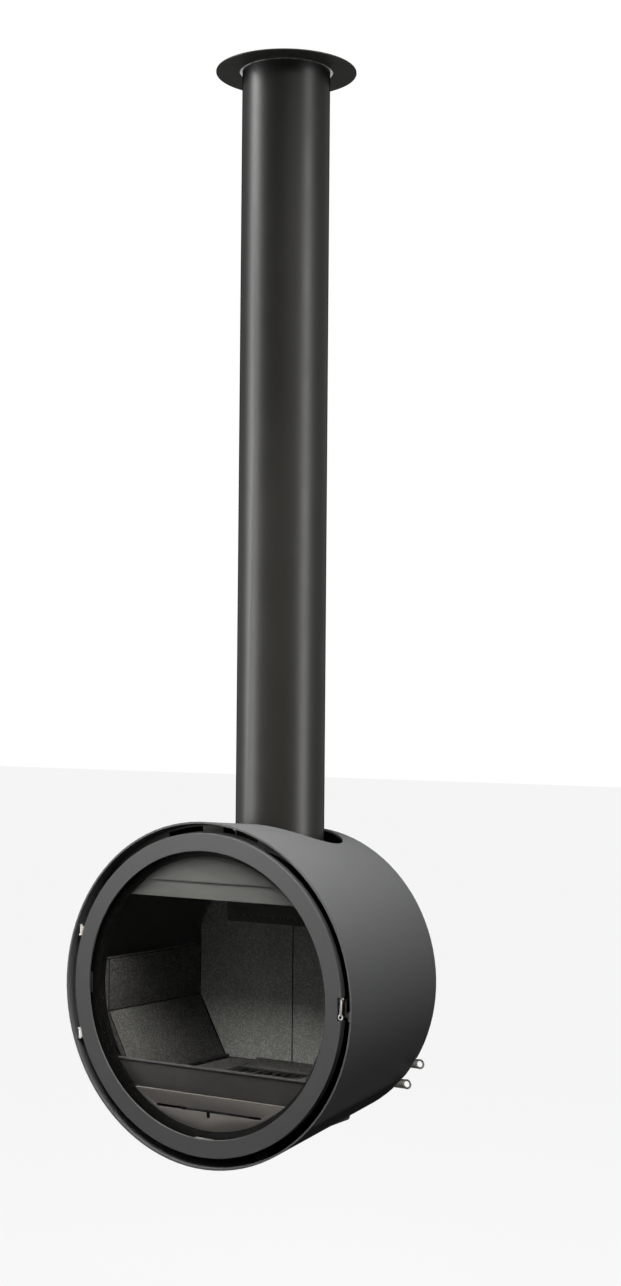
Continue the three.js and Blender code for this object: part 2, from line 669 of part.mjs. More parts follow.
function casingShell() {
  const shell = solid(turned([
    [casingInner(0), 0],
    [casingOuter(0), 0],
    [casingOuter(CASING_DEPTH), CASING_DEPTH],
    [casingInner(CASING_DEPTH), CASING_DEPTH],
  ], FINE));
  const oval = new THREE.CylinderGeometry(1, 1, CASING_FRONT_RADIUS, MEDIUM);
  oval.rotateX(Math.PI / 2);
  const ovalHalf = FLUE_RADIUS + (FLUE_HOLE_GAP_LEFT + FLUE_HOLE_GAP_RIGHT) / 2;
  const ovalShift = (FLUE_HOLE_GAP_RIGHT - FLUE_HOLE_GAP_LEFT) / 2;
  oval.scale(ovalHalf, FLUE_RADIUS + FLUE_HOLE_GAP_DEPTH, 1);
  oval.translate(ovalShift, FLUE_Y, CASING_FRONT_RADIUS / 2 + FLUE_RADIUS);
  const chest = solid(sideways(
    chestOutline(-2 * FIT),
    -CHEST_HALF_WIDTH - 2 * FIT,
    2 * CHEST_HALF_WIDTH + 4 * FIT,
  ));
  add('casing_shell', ANTHRACITE(), cut(shell, [solid(oval), chest, ...SLIDES.map(tabNotch)]));
}

// A crescent sheet welded inside the rim at the top, with slots for the warm air.
function frontGrille() {
  const outer = casingInner(GRILLE_DEPTH + GRILLE_THICKNESS) - FIT;
  const half = THREE.MathUtils.degToRad(GRILLE_HALF_ANGLE);
  const tip = outer * Math.cos(half);
  const top = outer - GRILLE_HEIGHT;
  const reach = outer * Math.sin(half);
  const drop = (reach * reach - (top - tip) ** 2) / (2 * (top - tip));
  const innerRadius = top - tip + drop;
  const spread = Math.asin(reach / innerRadius);
  const shape = new THREE.Shape();
  shape.absarc(0, 0, outer, Math.PI / 2 - half, Math.PI / 2 + half);
  shape.absarc(0, tip - drop, innerRadius, Math.PI / 2 + spread, Math.PI / 2 - spread, true);
  const sheet = extruded(shape, GRILLE_THICKNESS, GRILLE_FACETS);
  sheet.rotateX(Math.PI / 2);
  sheet.translate(0, atDepth(GRILLE_DEPTH) + GRILLE_THICKNESS, 0);
  const middle = outer - GRILLE_SLOT_INSET - GRILLE_SLOT_HEIGHT / 2;
  const slots = GRILLE_SLOT_SPANS.map(([from, to]) => {
    const left = Math.PI / 2 - Math.asin(from / middle);
    const right = Math.PI / 2 - Math.asin(to / middle);
    const slot = new THREE.Shape();
    slot.absarc(0, 0, middle + GRILLE_SLOT_HEIGHT / 2, right, left);
    slot.absarc(0, 0, middle - GRILLE_SLOT_HEIGHT / 2, left, right, true);
    return solid(facing(slot, GRILLE_DEPTH - 1, GRILLE_THICKNESS + 2));
  });
  add('front_grille', ANTHRACITE(), cut(solid(sheet), slots));
}

const ARM_FRONT = BACK_DEPTH + BACK_THICKNESS + FIT;

function rearCover() {
  const outer = casingInner(COVER_DEPTH + COVER_THICKNESS) - FIT;
  const sheet = solid(turned(disc(outer, COVER_DEPTH, COVER_DEPTH + COVER_THICKNESS), FINE));
  const through = [atDepth(COVER_DEPTH) - 1, atDepth(COVER_DEPTH + COVER_THICKNESS) + 1];
  const cuts = [solid(box(
    -CHEST_HALF_WIDTH - RUNNING,
    CHEST_HALF_WIDTH + RUNNING,
    ...through,
    -CASING_FRONT_RADIUS,
    CHEST_TOP + RUNNING,
  ))];
  for (const side of [-1, 1]) {
    cuts.push(solid(box(
      side * ARM_X - COVER_SLOT_WIDTH / 2,
      side * ARM_X + COVER_SLOT_WIDTH / 2,
      ...through,
      ARM_BOTTOM - COVER_SLOT_WIDTH / 2,
      ARM_TOP + COVER_SLOT_WIDTH / 2,
    )));
  }
  for (let i = 0; i < COVER_VENT_COUNT; i += 1) {
    const z = COVER_VENT_TOP - i * COVER_VENT_PITCH;
    if (z < ARM_TOP + COVER_VENT_PITCH) break;
    const vent = roundedSlot(0, z, COVER_VENT_LENGTH / 2, COVER_VENT_HEIGHT / 2);
    cuts.push(solid(facing(vent, COVER_DEPTH - 1, COVER_THICKNESS + 2)));
  }
  for (const angle of REAR_SPACER_ANGLES) {
    const [x, z] = coverScrewPlace(angle);
    const rear = COVER_DEPTH + COVER_THICKNESS;
    cuts.push(solid(pinAlongY(x, z, SCREW_RADIUS + FIT, COVER_DEPTH - 1, rear + 1)));
  }
  add('rear_cover', BLACK(), cut(sheet, cuts));
}

function coverScrewPlace(angle) {
  const radius = casingInner(CASING_DEPTH) - SPACER_TAB / 2 - CASING_WALL / 2;
  const turn = THREE.MathUtils.degToRad(angle);
  return [radius * Math.cos(turn), radius * Math.sin(turn)];
}

// A bent strap: foot on the firebox, web across the convection gap, foot on the casing.
function spacer(profile, angle, clear) {
  const strap = extruded(outline(profile), SPACER_WIDTH);
  strap.translate(0, FRONT_Y, -SPACER_WIDTH / 2);
  strap.rotateY(-THREE.MathUtils.degToRad(angle));
  return solid(strap).intersect(clear);
}

const CONE_END = CASING_DEPTH;

// A solid cone on the drum's axis that follows a radius given by depth.
function cone(radiusAt, offset) {
  return solid(turned([
    [0, 0],
    [radiusAt(0) + offset, 0],
    [radiusAt(CONE_END) + offset, CONE_END],
    [0, CONE_END],
  ], FINE));
}

function frontSpacers() {
  const clear = cone(casingInner, -FIT).subtract(cone(shellOuter, -WELD));
  const start = GRILLE_DEPTH + GRILLE_THICKNESS + FIT;
  const end = start + SPACER_FOOT;
  const profile = [
    [shellOuter(end) - SPACER_SHEET, start],
    [casingInner(start), start],
    [casingInner(start), end],
    [casingInner(end) - FIT - SPACER_SHEET, end],
    [casingInner(start) - FIT - SPACER_SHEET, start + SPACER_SHEET],
    [shellOuter(start) + SPACER_SHEET, start + SPACER_SHEET],
    [shellOuter(end) + SPACER_SHEET, end],
    [shellOuter(end) - SPACER_SHEET, end],
  ];
  return FRONT_SPACER_ANGLES.map((angle) => spacer(profile, angle, clear));
}

function rearSpacers() {
  const clear = cone(casingInner, -FIT);
  const seat = BACK_DEPTH + BACK_THICKNESS - WELD;
  const web = BACK_DEPTH + BACK_THICKNESS + SPACER_SHEET;
  const end = COVER_DEPTH - FIT;
  const profile = [
    [shellOuter(BACK_DEPTH) - SPACER_FOOT, seat],
    [shellOuter(BACK_DEPTH) - FIT, seat],
    [casingInner(web), web - SPACER_SHEET],
    [casingInner(end), end],
    [casingInner(end) - SPACER_TAB, end],
    [casingInner(end) - SPACER_TAB, end - SPACER_SHEET],
    [casingInner(end) - FIT - SPACER_SHEET, end - SPACER_SHEET],
    [casingInner(web) - FIT - SPACER_SHEET, web],
    [shellOuter(BACK_DEPTH) - SPACER_FOOT, web],
  ];
  return REAR_SPACER_ANGLES.map((angle) => spacer(profile, angle, clear));
}

// ---------------------------------------------------------------- firebox

const hingeY = atDepth(HINGE_DEPTH);

function flangeEars() {
  const front = atDepth(FLANGE_DEPTH);
  const rear = atDepth(FLANGE_DEPTH + FLANGE_THICKNESS);
  const clear = cone(casingInner, -2 * WELD);
  const ears = [1, -1].map((side) => solid(box(
    HINGE_X - KNUCKLE_RADIUS - 1,
    -MOUTH_RADIUS - LIP_WALL,
    front,
    rear,
    side * HINGE_HEIGHT - HINGE_HALF - 1,
    side * HINGE_HEIGHT + HINGE_HALF + 1,
  )).intersect(clear));
  const keeperEar = solid(box(
    MOUTH_RADIUS + LIP_WALL + 2,
    KEEPER_OUTER,
    front,
    rear,
    -LATCH_NOTCH_HALF,
    LATCH_NOTCH_HALF,
  ));
  return [...ears, keeperEar];
}

function mouthFlange() {
  const body = solid(turned([
    [MOUTH_RADIUS, FLANGE_DEPTH],
    [FLANGE_OUTER, FLANGE_DEPTH],
    [FLANGE_OUTER, FLANGE_DEPTH + FLANGE_THICKNESS],
    [MOUTH_RADIUS + LIP_WALL, FLANGE_DEPTH + FLANGE_THICKNESS],
    [MOUTH_RADIUS + LIP_WALL, FLANGE_DEPTH + LIP_LENGTH],
    [MOUTH_RADIUS, FLANGE_DEPTH + LIP_LENGTH],
  ], FINE));
  add('mouth_flange', DARK_STEEL(), joined([body, ...flangeEars()]));
}

function fireboxShell() {
  const shell = solid(turned([
    [shellInner(SHELL_FRONT), SHELL_FRONT],
    [shellOuter(SHELL_FRONT), SHELL_FRONT],
    [shellOuter(SHELL_REAR), SHELL_REAR],
    [shellInner(SHELL_REAR), SHELL_REAR],
  ], FINE));
  const flueHole = solid(pinUpright(0, FLUE_Y, OUTLET_RADIUS, 0, CASING_FRONT_RADIUS, COARSE));
  const airSlot = solid(box(
    -CHEST_HALF_WIDTH / 2,
    CHEST_HALF_WIDTH / 2,
    atDepth(LINING_FRONT),
    atDepth(PAN_FRONT) - PAN_WALL,
    -CASING_FRONT_RADIUS,
    PAN_BOTTOM,
  ));
  const weldment = joined([shell, ...baffleLedges(), ...frontSpacers()]);
  add('firebox_shell', DARK_STEEL(), cut(weldment, [flueHole, airSlot]));
}

function fireboxBack() {
  const rear = BACK_DEPTH + BACK_THICKNESS;
  const plate = solid(turned(disc(shellOuter(rear), BACK_DEPTH, rear), FINE));
  const underFloor = (FLOOR_BOTTOM - shellInner(BACK_DEPTH)) / 2;
  const slots = [underFloor, SECONDARY_Z].map((z) => {
    const slot = roundedSlot(0, z, CHEST_HALF_WIDTH / 2, AIR_SLOT_WIDTH / 2);
    return solid(facing(slot, BACK_DEPTH - 1, BACK_THICKNESS + 2));
  });
  add('firebox_back', DARK_STEEL(), joined([cut(plate, slots), ...rearSpacers()]));
}

const sideFace = (depth) => shellInner(depth) - SIDE_LINING;
const footAt = (depth) => Math.min(
  sideFace(depth) - FOOT_INSET,
  chord(shellInner(depth), FLOOR_TOP) - FOOT_THICKNESS,
);
const FOOT_SLANT = (footAt(LINING_REAR) - footAt(LINING_FRONT)) / (LINING_REAR - LINING_FRONT);
const footFace = (depth) => footAt(LINING_FRONT) + FOOT_SLANT * (depth - LINING_FRONT);

function sidePanels() {
  const upper = (depth) => [
    [sideFace(depth), SIDE_SEAM + FIT],
    [shellInner(depth) + 2, SIDE_SEAM + FIT],
    [shellInner(depth) + 2, SIDE_TOP],
    [sideFace(depth), SIDE_TOP],
  ];
  const lower = (depth) => [
    [footFace(depth), FLOOR_TOP + FIT],
    [shellInner(depth) + 2, FLOOR_TOP + FIT],
    [shellInner(depth) + 2, SIDE_SEAM],
    [sideFace(depth), SIDE_SEAM],
  ];
  const rear = LINING_REAR - FIT;
  const space = insideShell();
  for (const [name, section] of [['upper', upper], ['lower', lower]]) {
    const right = [section(LINING_FRONT), section(rear)];
    const left = right.map(mirrored);
    const panels = [['right', right], ['left', left]];
    for (const [side, ends] of panels) {
      const panel = solid(lofted(...ends, LINING_FRONT, rear));
      add(`side_panel_${name}_${side}`, VERMICULITE(), panel.intersect(space));
    }
  }
}

function backPanels() {
  const face = sideFace(LINING_REAR);
  const cornerTop = chord(BACK_PANEL_CORNER_RADIUS, face);
  const shape = new THREE.Shape();
  const arcStart = Math.atan2(cornerTop, face);
  const arcEnd = Math.asin(BACK_PANEL_TOP / BACK_PANEL_CORNER_RADIUS);
  shape.moveTo(FIT / 2, FLOOR_TOP + FIT);
  shape.lineTo(footFace(LINING_REAR) - 1, FLOOR_TOP + FIT);
  shape.lineTo(face, SIDE_SEAM);
  shape.absarc(0, 0, BACK_PANEL_CORNER_RADIUS, arcStart, arcEnd);
  shape.lineTo(FIT / 2, BACK_PANEL_TOP);
  const right = solid(facing(shape, LINING_REAR, BACK_DEPTH - FIT - LINING_REAR));
  const panel = right.intersect(insideShell());
  add('back_panel_right', VERMICULITE(), panel);
  add('back_panel_left', VERMICULITE(), panel.mirror([1, 0, 0]));
}

function firefloor() {
  const space = insideShell();
  const low = FLOOR_BOTTOM + FIT;
  const wide = CASING_FRONT_RADIUS;
  const rear = BACK_DEPTH - FIT;
  const gap = FIT;
  for (const [name, side] of [['left', -1], ['right', 1]]) {
    const inner = GRATE_HALF_WIDTH + gap;
    const from = side < 0 ? -wide : inner;
    const to = side < 0 ? -inner : wide;
    const brick = solid(box(from, to, atDepth(LINING_FRONT), atDepth(rear), low, FLOOR_TOP));
    add(`floor_brick_${name}`, VERMICULITE(), brick.intersect(space));
  }
  const across = [-GRATE_HALF_WIDTH, GRATE_HALF_WIDTH];
  const front = solid(box(...across, atDepth(LINING_FRONT), atDepth(GRATE_FRONT) - gap, low, FLOOR_TOP));
  add('floor_brick_front', VERMICULITE(), front.intersect(space));
  const back = outline([
    [GRATE_REAR + gap, low],
    [rear, low],
    [rear, FLOOR_TOP],
    [LINING_REAR - FIT, FLOOR_TOP],
    [LINING_REAR - FIT, FLOOR_TOP + SILL_HEIGHT],
    [SILL_FRONT, FLOOR_TOP],
    [GRATE_REAR + gap, FLOOR_TOP],
  ]);
  add('floor_brick_rear', VERMICULITE(), solid(sideways(back, -GRATE_HALF_WIDTH, 2 * GRATE_HALF_WIDTH)));
  const plate = solid(box(
    -wide,
    wide,
    atDepth(LINING_FRONT),
    atDepth(rear),
    FLOOR_BOTTOM - FLOOR_PLATE_THICKNESS,
    FLOOR_BOTTOM,
  ));
  const hatch = solid(box(
    -GRATE_HALF_WIDTH + GRATE_FRAME,
    GRATE_HALF_WIDTH - GRATE_FRAME,
    atDepth(GRATE_FRONT + GRATE_FRAME),
    atDepth(GRATE_REAR - GRATE_FRAME),
    FLOOR_BOTTOM - FLOOR_PLATE_THICKNESS - 1,
    FLOOR_BOTTOM + 1,
  ));
  add('floor_plate', DARK_STEEL(), plate.intersect(space).subtract(hatch));
}

// A cast grate: a deep frame that stands on the floor plate, with bars near its top.
function grate() {
  const half = GRATE_HALF_WIDTH - RUNNING;
  const frame = solid(box(
    -half,
    half,
    atDepth(GRATE_FRONT) + RUNNING,
    atDepth(GRATE_REAR) - RUNNING,
    FLOOR_BOTTOM + FIT,
    FLOOR_TOP,
  ));
  const opening = solid(box(
    -half + GRATE_FRAME,
    half - GRATE_FRAME,
    atDepth(GRATE_FRONT + GRATE_FRAME),
    atDepth(GRATE_REAR - GRATE_FRAME),
    FLOOR_BOTTOM,
    FLOOR_TOP + 1,
  ));
  const inside = 2 * (half - GRATE_FRAME);
  const pitch = inside / GRATE_BARS;
  const bars = [];
  for (let i = 0; i < GRATE_BARS; i += 1) {
    const x = -half + GRATE_FRAME + (i + 0.5) * pitch;
    bars.push(solid(box(
      x - GRATE_BAR_WIDTH / 2,
      x + GRATE_BAR_WIDTH / 2,
      atDepth(GRATE_FRONT + GRATE_FRAME) - 1,
      atDepth(GRATE_REAR - GRATE_FRAME) + 1,
      FLOOR_TOP - GRATE_THICKNESS,
      FLOOR_TOP,
    )));
  }
  add('grate', IRON(), joined([frame.subtract(opening), ...bars]));
}

// Low bars along the foot of the slanted panels, notched underneath near the rear.
function emberRails() {
  const section = (depth) => [
    [footFace(depth) - FIT, FLOOR_TOP + FIT],
    [footFace(depth) - FIT, FLOOR_TOP + RAIL_HEIGHT],
    [footFace(depth) - RAIL_WIDTH, FLOOR_TOP + RAIL_HEIGHT],
    [footFace(depth) - RAIL_WIDTH, FLOOR_TOP + FIT],
  ].reverse();
  const bar = solid(lofted(section(LINING_FRONT), section(RAIL_END), LINING_FRONT, RAIL_END));
  const notches = [];
  for (let i = 0; i < RAIL_NOTCHES; i += 1) {
    const depth = RAIL_END - (i + 1) * 3 * RAIL_NOTCH_LENGTH;
    const face = footFace(depth) - RAIL_WIDTH;
    notches.push(solid(box(
      face - RAIL_WIDTH / 2,
      face + RAIL_WIDTH / 2,
      atDepth(depth),
      atDepth(depth + RAIL_NOTCH_LENGTH),
      FLOOR_TOP - 1,
      FLOOR_TOP + RAIL_NOTCH_HEIGHT,
    )));
  }
  const right = cut(bar, notches);
  add('ember_rail_right', IRON(), right);
  add('ember_rail_left', IRON(), right.mirror([1, 0, 0]));
}

function fenceAndApron() {
  const mouth = insideMouth();
  const wide = MOUTH_RADIUS;
  const fence = solid(box(
    -wide,
    wide,
    atDepth(FENCE_DEPTH),
    atDepth(FENCE_DEPTH) + FENCE_THICKNESS,
    APRON_TOP + FIT,
    FENCE_TOP,
  ));
  const lip = new THREE.CylinderGeometry(FENCE_LIP_RADIUS, FENCE_LIP_RADIUS, 2 * wide, SMALL);
  lip.rotateZ(Math.PI / 2);
  lip.translate(0, atDepth(FENCE_DEPTH) + FENCE_THICKNESS / 2, FENCE_TOP - FENCE_LIP_RADIUS);
  add('log_fence', IRON(), fence.add(solid(lip)).intersect(mouth));
  const sheet = solid(box(
    -wide,
    wide,
    atDepth(APRON_DEPTH),
    atDepth(APRON_DEPTH) + APRON_THICKNESS,
    -wide,
    APRON_TOP,
  ));
  const ledge = solid(box(
    -wide,
    wide,
    atDepth(APRON_DEPTH),
    atDepth(FENCE_DEPTH) + FENCE_THICKNESS,
    APRON_TOP - APRON_THICKNESS,
    APRON_TOP,
  ));
  const slot = roundedSlot(0, APRON_SLOT_Z, APRON_SLOT_HALF, APRON_SLOT_HEIGHT / 2);
  const slotCut = solid(facing(slot, APRON_DEPTH - 1, APRON_THICKNESS + 2));
  const notch = solid(box(
    -APRON_NOTCH_WIDTH / 2,
    APRON_NOTCH_WIDTH / 2,
    atDepth(APRON_DEPTH) - 1,
    atDepth(APRON_DEPTH) + APRON_THICKNESS + 1,
    APRON_SLOT_Z - APRON_SLOT_HEIGHT / 2 - APRON_NOTCH_HEIGHT,
    APRON_SLOT_Z,
  ));
  add('lower_apron', DARK_STEEL(), cut(sheet.add(ledge).intersect(mouth), [slotCut, notch]));
}

function deflector() {
  const mouth = insideMouth();
  const wide = MOUTH_RADIUS;
  const front = APRON_DEPTH;
  const upper = solid(box(
    -wide,
    wide,
    atDepth(front),
    atDepth(front) + DEFLECTOR_THICKNESS,
    DEFLECTOR_FOLD,
    wide,
  ));
  add('deflector_hood', DARK_STEEL(), upper.intersect(mouth));
  const stepDepth = front + DEFLECTOR_THICKNESS + FIT;
  const lower = solid(box(
    -wide,
    wide,
    atDepth(stepDepth),
    atDepth(stepDepth) + DEFLECTOR_THICKNESS,
    DEFLECTOR_BOTTOM,
    DEFLECTOR_FOLD + DEFLECTOR_STEP,
  ));
  add('deflector_strip', DARK_STEEL(), lower.intersect(mouth));
}

function secondaryAir() {
  const front = LINING_REAR - FIT - MANIFOLD_DEPTH;
  const top = BACK_PANEL_TOP - MANIFOLD_GAP;
  const channel = solid(box(
    -MANIFOLD_HALF,
    MANIFOLD_HALF,
    atDepth(front),
    atDepth(front + MANIFOLD_DEPTH),
    MANIFOLD_BOTTOM,
    top,
  ));
  const hollow = solid(box(
    -MANIFOLD_HALF + MANIFOLD_WALL,
    MANIFOLD_HALF - MANIFOLD_WALL,
    atDepth(front) + MANIFOLD_WALL,
    atDepth(front + MANIFOLD_DEPTH) + 1,
    MANIFOLD_BOTTOM + MANIFOLD_WALL,
    top - MANIFOLD_WALL,
  ));
  const holes = [];
  const count = Math.floor((2 * MANIFOLD_HALF - MANIFOLD_HOLE_PITCH) / MANIFOLD_HOLE_PITCH);
  for (let i = 0; i < count; i += 1) {
    const x = (i - (count - 1) / 2) * MANIFOLD_HOLE_PITCH;
    const rear = front + 2 * MANIFOLD_WALL;
    holes.push(solid(pinAlongY(x, MANIFOLD_HOLE_Z, MANIFOLD_HOLE_RADIUS, front - 1, rear, SMALL / 2)));
  }
  add('secondary_air_channel', DARK_STEEL(), cut(channel, [hollow, ...holes]));
}

const BAFFLE_LOW = BACK_PANEL_TOP + FIT;
const BAFFLE_REAR = BACK_DEPTH - FIT;
const BAFFLE_SLOPE = BAFFLE_FRONT_RISE / (BAFFLE_REAR - BAFFLE_FRONT);
const baffleLine = (depth) => BAFFLE_LOW + (BAFFLE_REAR - depth) * BAFFLE_SLOPE;
const baffleHalf = () => {
  const top = baffleLine(BAFFLE_FRONT) + BAFFLE_THICKNESS;
  return chord(shellInner(BAFFLE_REAR) - FIT, top) - BAFFLE_LEDGE_WIDTH / 2;
};

// The baffle leans from the rear lining up to the front, on two ledges.
function baffle() {
  const shape = outline([
    [BAFFLE_FRONT, baffleLine(BAFFLE_FRONT)],
    [BAFFLE_REAR, BAFFLE_LOW],
    [BAFFLE_REAR, BAFFLE_LOW + BAFFLE_THICKNESS],
    [BAFFLE_FRONT, baffleLine(BAFFLE_FRONT) + BAFFLE_THICKNESS],
  ]);
  const half = baffleHalf();
  add('baffle_panel', VERMICULITE(), solid(sideways(shape, -half, 2 * half)).intersect(insideShell()));
}

// Welded inside the shell, one on each side.
function baffleLedges() {
  const end = LINING_REAR - FIT;
  const under = (depth) => baffleLine(depth) - FIT;
  const ledge = outline([
    [BAFFLE_FRONT, under(BAFFLE_FRONT)],
    [BAFFLE_FRONT, under(BAFFLE_FRONT) - BAFFLE_LEDGE_THICKNESS],
    [end, under(end) - BAFFLE_LEDGE_THICKNESS],
    [end, under(end)],
  ]);
  const inner = baffleHalf() - BAFFLE_LEDGE_WIDTH;
  const reach = CASING_FRONT_RADIUS - inner;
  const space = cone(shellInner, WELD);
  return [inner, -inner - reach].map((x) => solid(sideways(ledge, x, reach)).intersect(space));
}

function ashPan() {
  const outer = solid(box(
    -PAN_HALF_WIDTH,
    PAN_HALF_WIDTH,
    atDepth(PAN_FRONT),
    atDepth(PAN_REAR),
    PAN_BOTTOM,
    PAN_TOP,
  ));
  const inner = solid(box(
    -PAN_HALF_WIDTH + PAN_WALL,
    PAN_HALF_WIDTH - PAN_WALL,
    atDepth(PAN_FRONT) + PAN_WALL,
    atDepth(PAN_REAR) - PAN_WALL,
    PAN_BOTTOM + PAN_WALL,
    PAN_TOP + 1,
  ));
  add('ash_pan', ZINC(), outer.subtract(inner));
  const shelf = solid(box(
    -CASING_FRONT_RADIUS,
    CASING_FRONT_RADIUS,
    atDepth(PAN_FRONT),
    atDepth(BACK_DEPTH) - FIT,
    PAN_BOTTOM - FIT - SHELF_THICKNESS,
    PAN_BOTTOM - FIT,
  ));
  add('ash_pan_shelf', DARK_STEEL(), shelf.intersect(insideShell()));
}

// ---------------------------------------------------------------- door

const GLASS_FRONT = RING_THICKNESS + FIT + GLASS_TAPE_THICKNESS + FIT;
const GLASS_REAR = GLASS_FRONT + GLASS_THICKNESS;
const ROPE_OUTER = DOOR_RADIUS - SKIRT_WALL - ROPE_PLAY;
const ROPE_INNER = ROPE_OUTER - ROPE_WIDTH;
const RIB_OUTER = ROPE_INNER - RUNNING;
const RIB_REAR = RING_THICKNESS + RIB_LENGTH;

function doorRing() {
  const body = solid(turned([
    [WINDOW_RADIUS, 0],
    [DOOR_RADIUS, 0],
    [DOOR_RADIUS, SKIRT_LENGTH],
    [DOOR_RADIUS - SKIRT_WALL, SKIRT_LENGTH],
    [DOOR_RADIUS - SKIRT_WALL, RING_THICKNESS],
    [RIB_OUTER, RING_THICKNESS],
    [RIB_OUTER, RIB_REAR],
    [RIB_OUTER - RIB_WALL, RIB_REAR],
    [RIB_OUTER - RIB_WALL, RING_THICKNESS],
    [WINDOW_RADIUS, RING_THICKNESS],
  ], FINE));
  const through = [atDepth(0) - 1, atDepth(SKIRT_LENGTH) + 1];
  const cuts = [solid(box(
    DOOR_RADIUS - LATCH_NOTCH_DEPTH,
    DOOR_RADIUS + 1,
    ...through,
    -LATCH_NOTCH_HALF,
    LATCH_NOTCH_HALF,
  ))];
  for (const side of [-1, 1]) {
    cuts.push(solid(box(
      -DOOR_RADIUS - 1,
      HINGE_X + KNUCKLE_RADIUS + LUG_THICKNESS + 1,
      ...through,
      side * HINGE_HEIGHT - HINGE_HALF - RUNNING,
      side * HINGE_HEIGHT + HINGE_HALF + RUNNING,
    )));
    cuts.push(solid(box(
      -DOOR_RADIUS - 1,
      HINGE_X + LEAF_REACH + FIT,
      atDepth(RING_THICKNESS),
      through[1],
      side * HINGE_HEIGHT - KNUCKLE_HEIGHT / 2 - FIT,
      side * HINGE_HEIGHT + KNUCKLE_HEIGHT / 2 + FIT,
    )));
  }
  add('door_ring', ANTHRACITE(), cut(body, cuts));
}

function doorGlazing() {
  add('door_glass', GLASS(), turned(disc(GLASS_RADIUS, GLASS_FRONT, GLASS_REAR), FINE));
  const tapeInner = GLASS_RADIUS - GLASS_TAPE_WIDTH;
  const tapeFront = RING_THICKNESS + FIT;
  const tape = ring(tapeInner, GLASS_RADIUS, tapeFront, tapeFront + GLASS_TAPE_THICKNESS);
  add('glass_tape', ROPE(), turned(tape, FINE));
  const clipDepth = GLASS_REAR + FIT;
  const outer = RIB_OUTER - RIB_WALL - RUNNING;
  for (let i = 0; i < CLIP_COUNT; i += 1) {
    const clip = box(
      chord(outer, CLIP_LENGTH / 2) - CLIP_WIDTH,
      chord(outer, CLIP_LENGTH / 2),
      atDepth(clipDepth),
      atDepth(clipDepth) + CLIP_THICKNESS,
      -CLIP_LENGTH / 2,
      CLIP_LENGTH / 2,
    );
    clip.rotateY((-i / CLIP_COUNT) * 2 * Math.PI);
    add(`glass_clip_${['right', 'top', 'left', 'bottom'][i]}`, BARE_STEEL(), clip);
  }
}

function ropeSeal() {
  const front = RING_THICKNESS + LEAF_THICKNESS + 2 * FIT + ROPE_STANDOFF;
  const rear = FLANGE_DEPTH - FIT;
  const bevel = ROPE_WIDTH / 4;
  add('rope_seal', ROPE(), turned([
    [ROPE_INNER, front + bevel],
    [ROPE_INNER + bevel, front],
    [ROPE_OUTER - bevel, front],
    [ROPE_OUTER, front + bevel],
    [ROPE_OUTER, rear - bevel],
    [ROPE_OUTER - bevel, rear],
    [ROPE_INNER + bevel, rear],
    [ROPE_INNER, rear - bevel],
  ], MEDIUM));
}

function hinges() {
  for (const [name, side] of [['upper', 1], ['lower', -1]]) {
    const z = side * HINGE_HEIGHT;
    const half = KNUCKLE_HEIGHT / 2;
    const bore = HINGE_PIN_RADIUS + PIN_PLAY;
    const hole = solid(pinUpright(HINGE_X, hingeY, bore, z - HINGE_HALF - 1, z + HINGE_HALF + 1));
    const knuckle = solid(pinUpright(HINGE_X, hingeY, KNUCKLE_RADIUS, z - half, z + half));
    const leafRear = atDepth(RING_THICKNESS + FIT + LEAF_THICKNESS);
    const leaf = solid(box(
      HINGE_X,
      HINGE_X + LEAF_REACH,
      leafRear - LEAF_THICKNESS,
      leafRear,
      z - half,
      z + half,
    ));
    add(`door_hinge_${name}`, BARE_STEEL(), knuckle.add(leaf).subtract(hole));
    const seatRear = atDepth(FLANGE_DEPTH - FIT);
    const seat = solid(box(
      HINGE_X - KNUCKLE_RADIUS,
      HINGE_X + KNUCKLE_RADIUS,
      seatRear - LUG_THICKNESS,
      seatRear,
      z - HINGE_HALF,
      z + HINGE_HALF,
    ));
    const lugs = [-1, 1].map((end) => {
      const inner = z + end * (half + RUNNING / 2);
      const outer = z + end * HINGE_HALF;
      return solid(box(
        HINGE_X - KNUCKLE_RADIUS,
        HINGE_X + KNUCKLE_RADIUS,
        hingeY - KNUCKLE_RADIUS,
        seatRear - LUG_THICKNESS + 1,
        Math.min(inner, outer),
        Math.max(inner, outer),
      ));
    });
    add(`hinge_bracket_${name}`, BARE_STEEL(), joined([seat, ...lugs]).subtract(hole));
    const pin = pinUpright(HINGE_X, hingeY, HINGE_PIN_RADIUS, z - HINGE_HALF - 1, z + HINGE_HALF + 1);
    add(`hinge_pin_${name}`, BARE_STEEL(), pin);
  }
}

const HOOK_FRONT = SKIRT_LENGTH + RUNNING;
const BRACKET_FRONT = RING_THICKNESS + FIT;

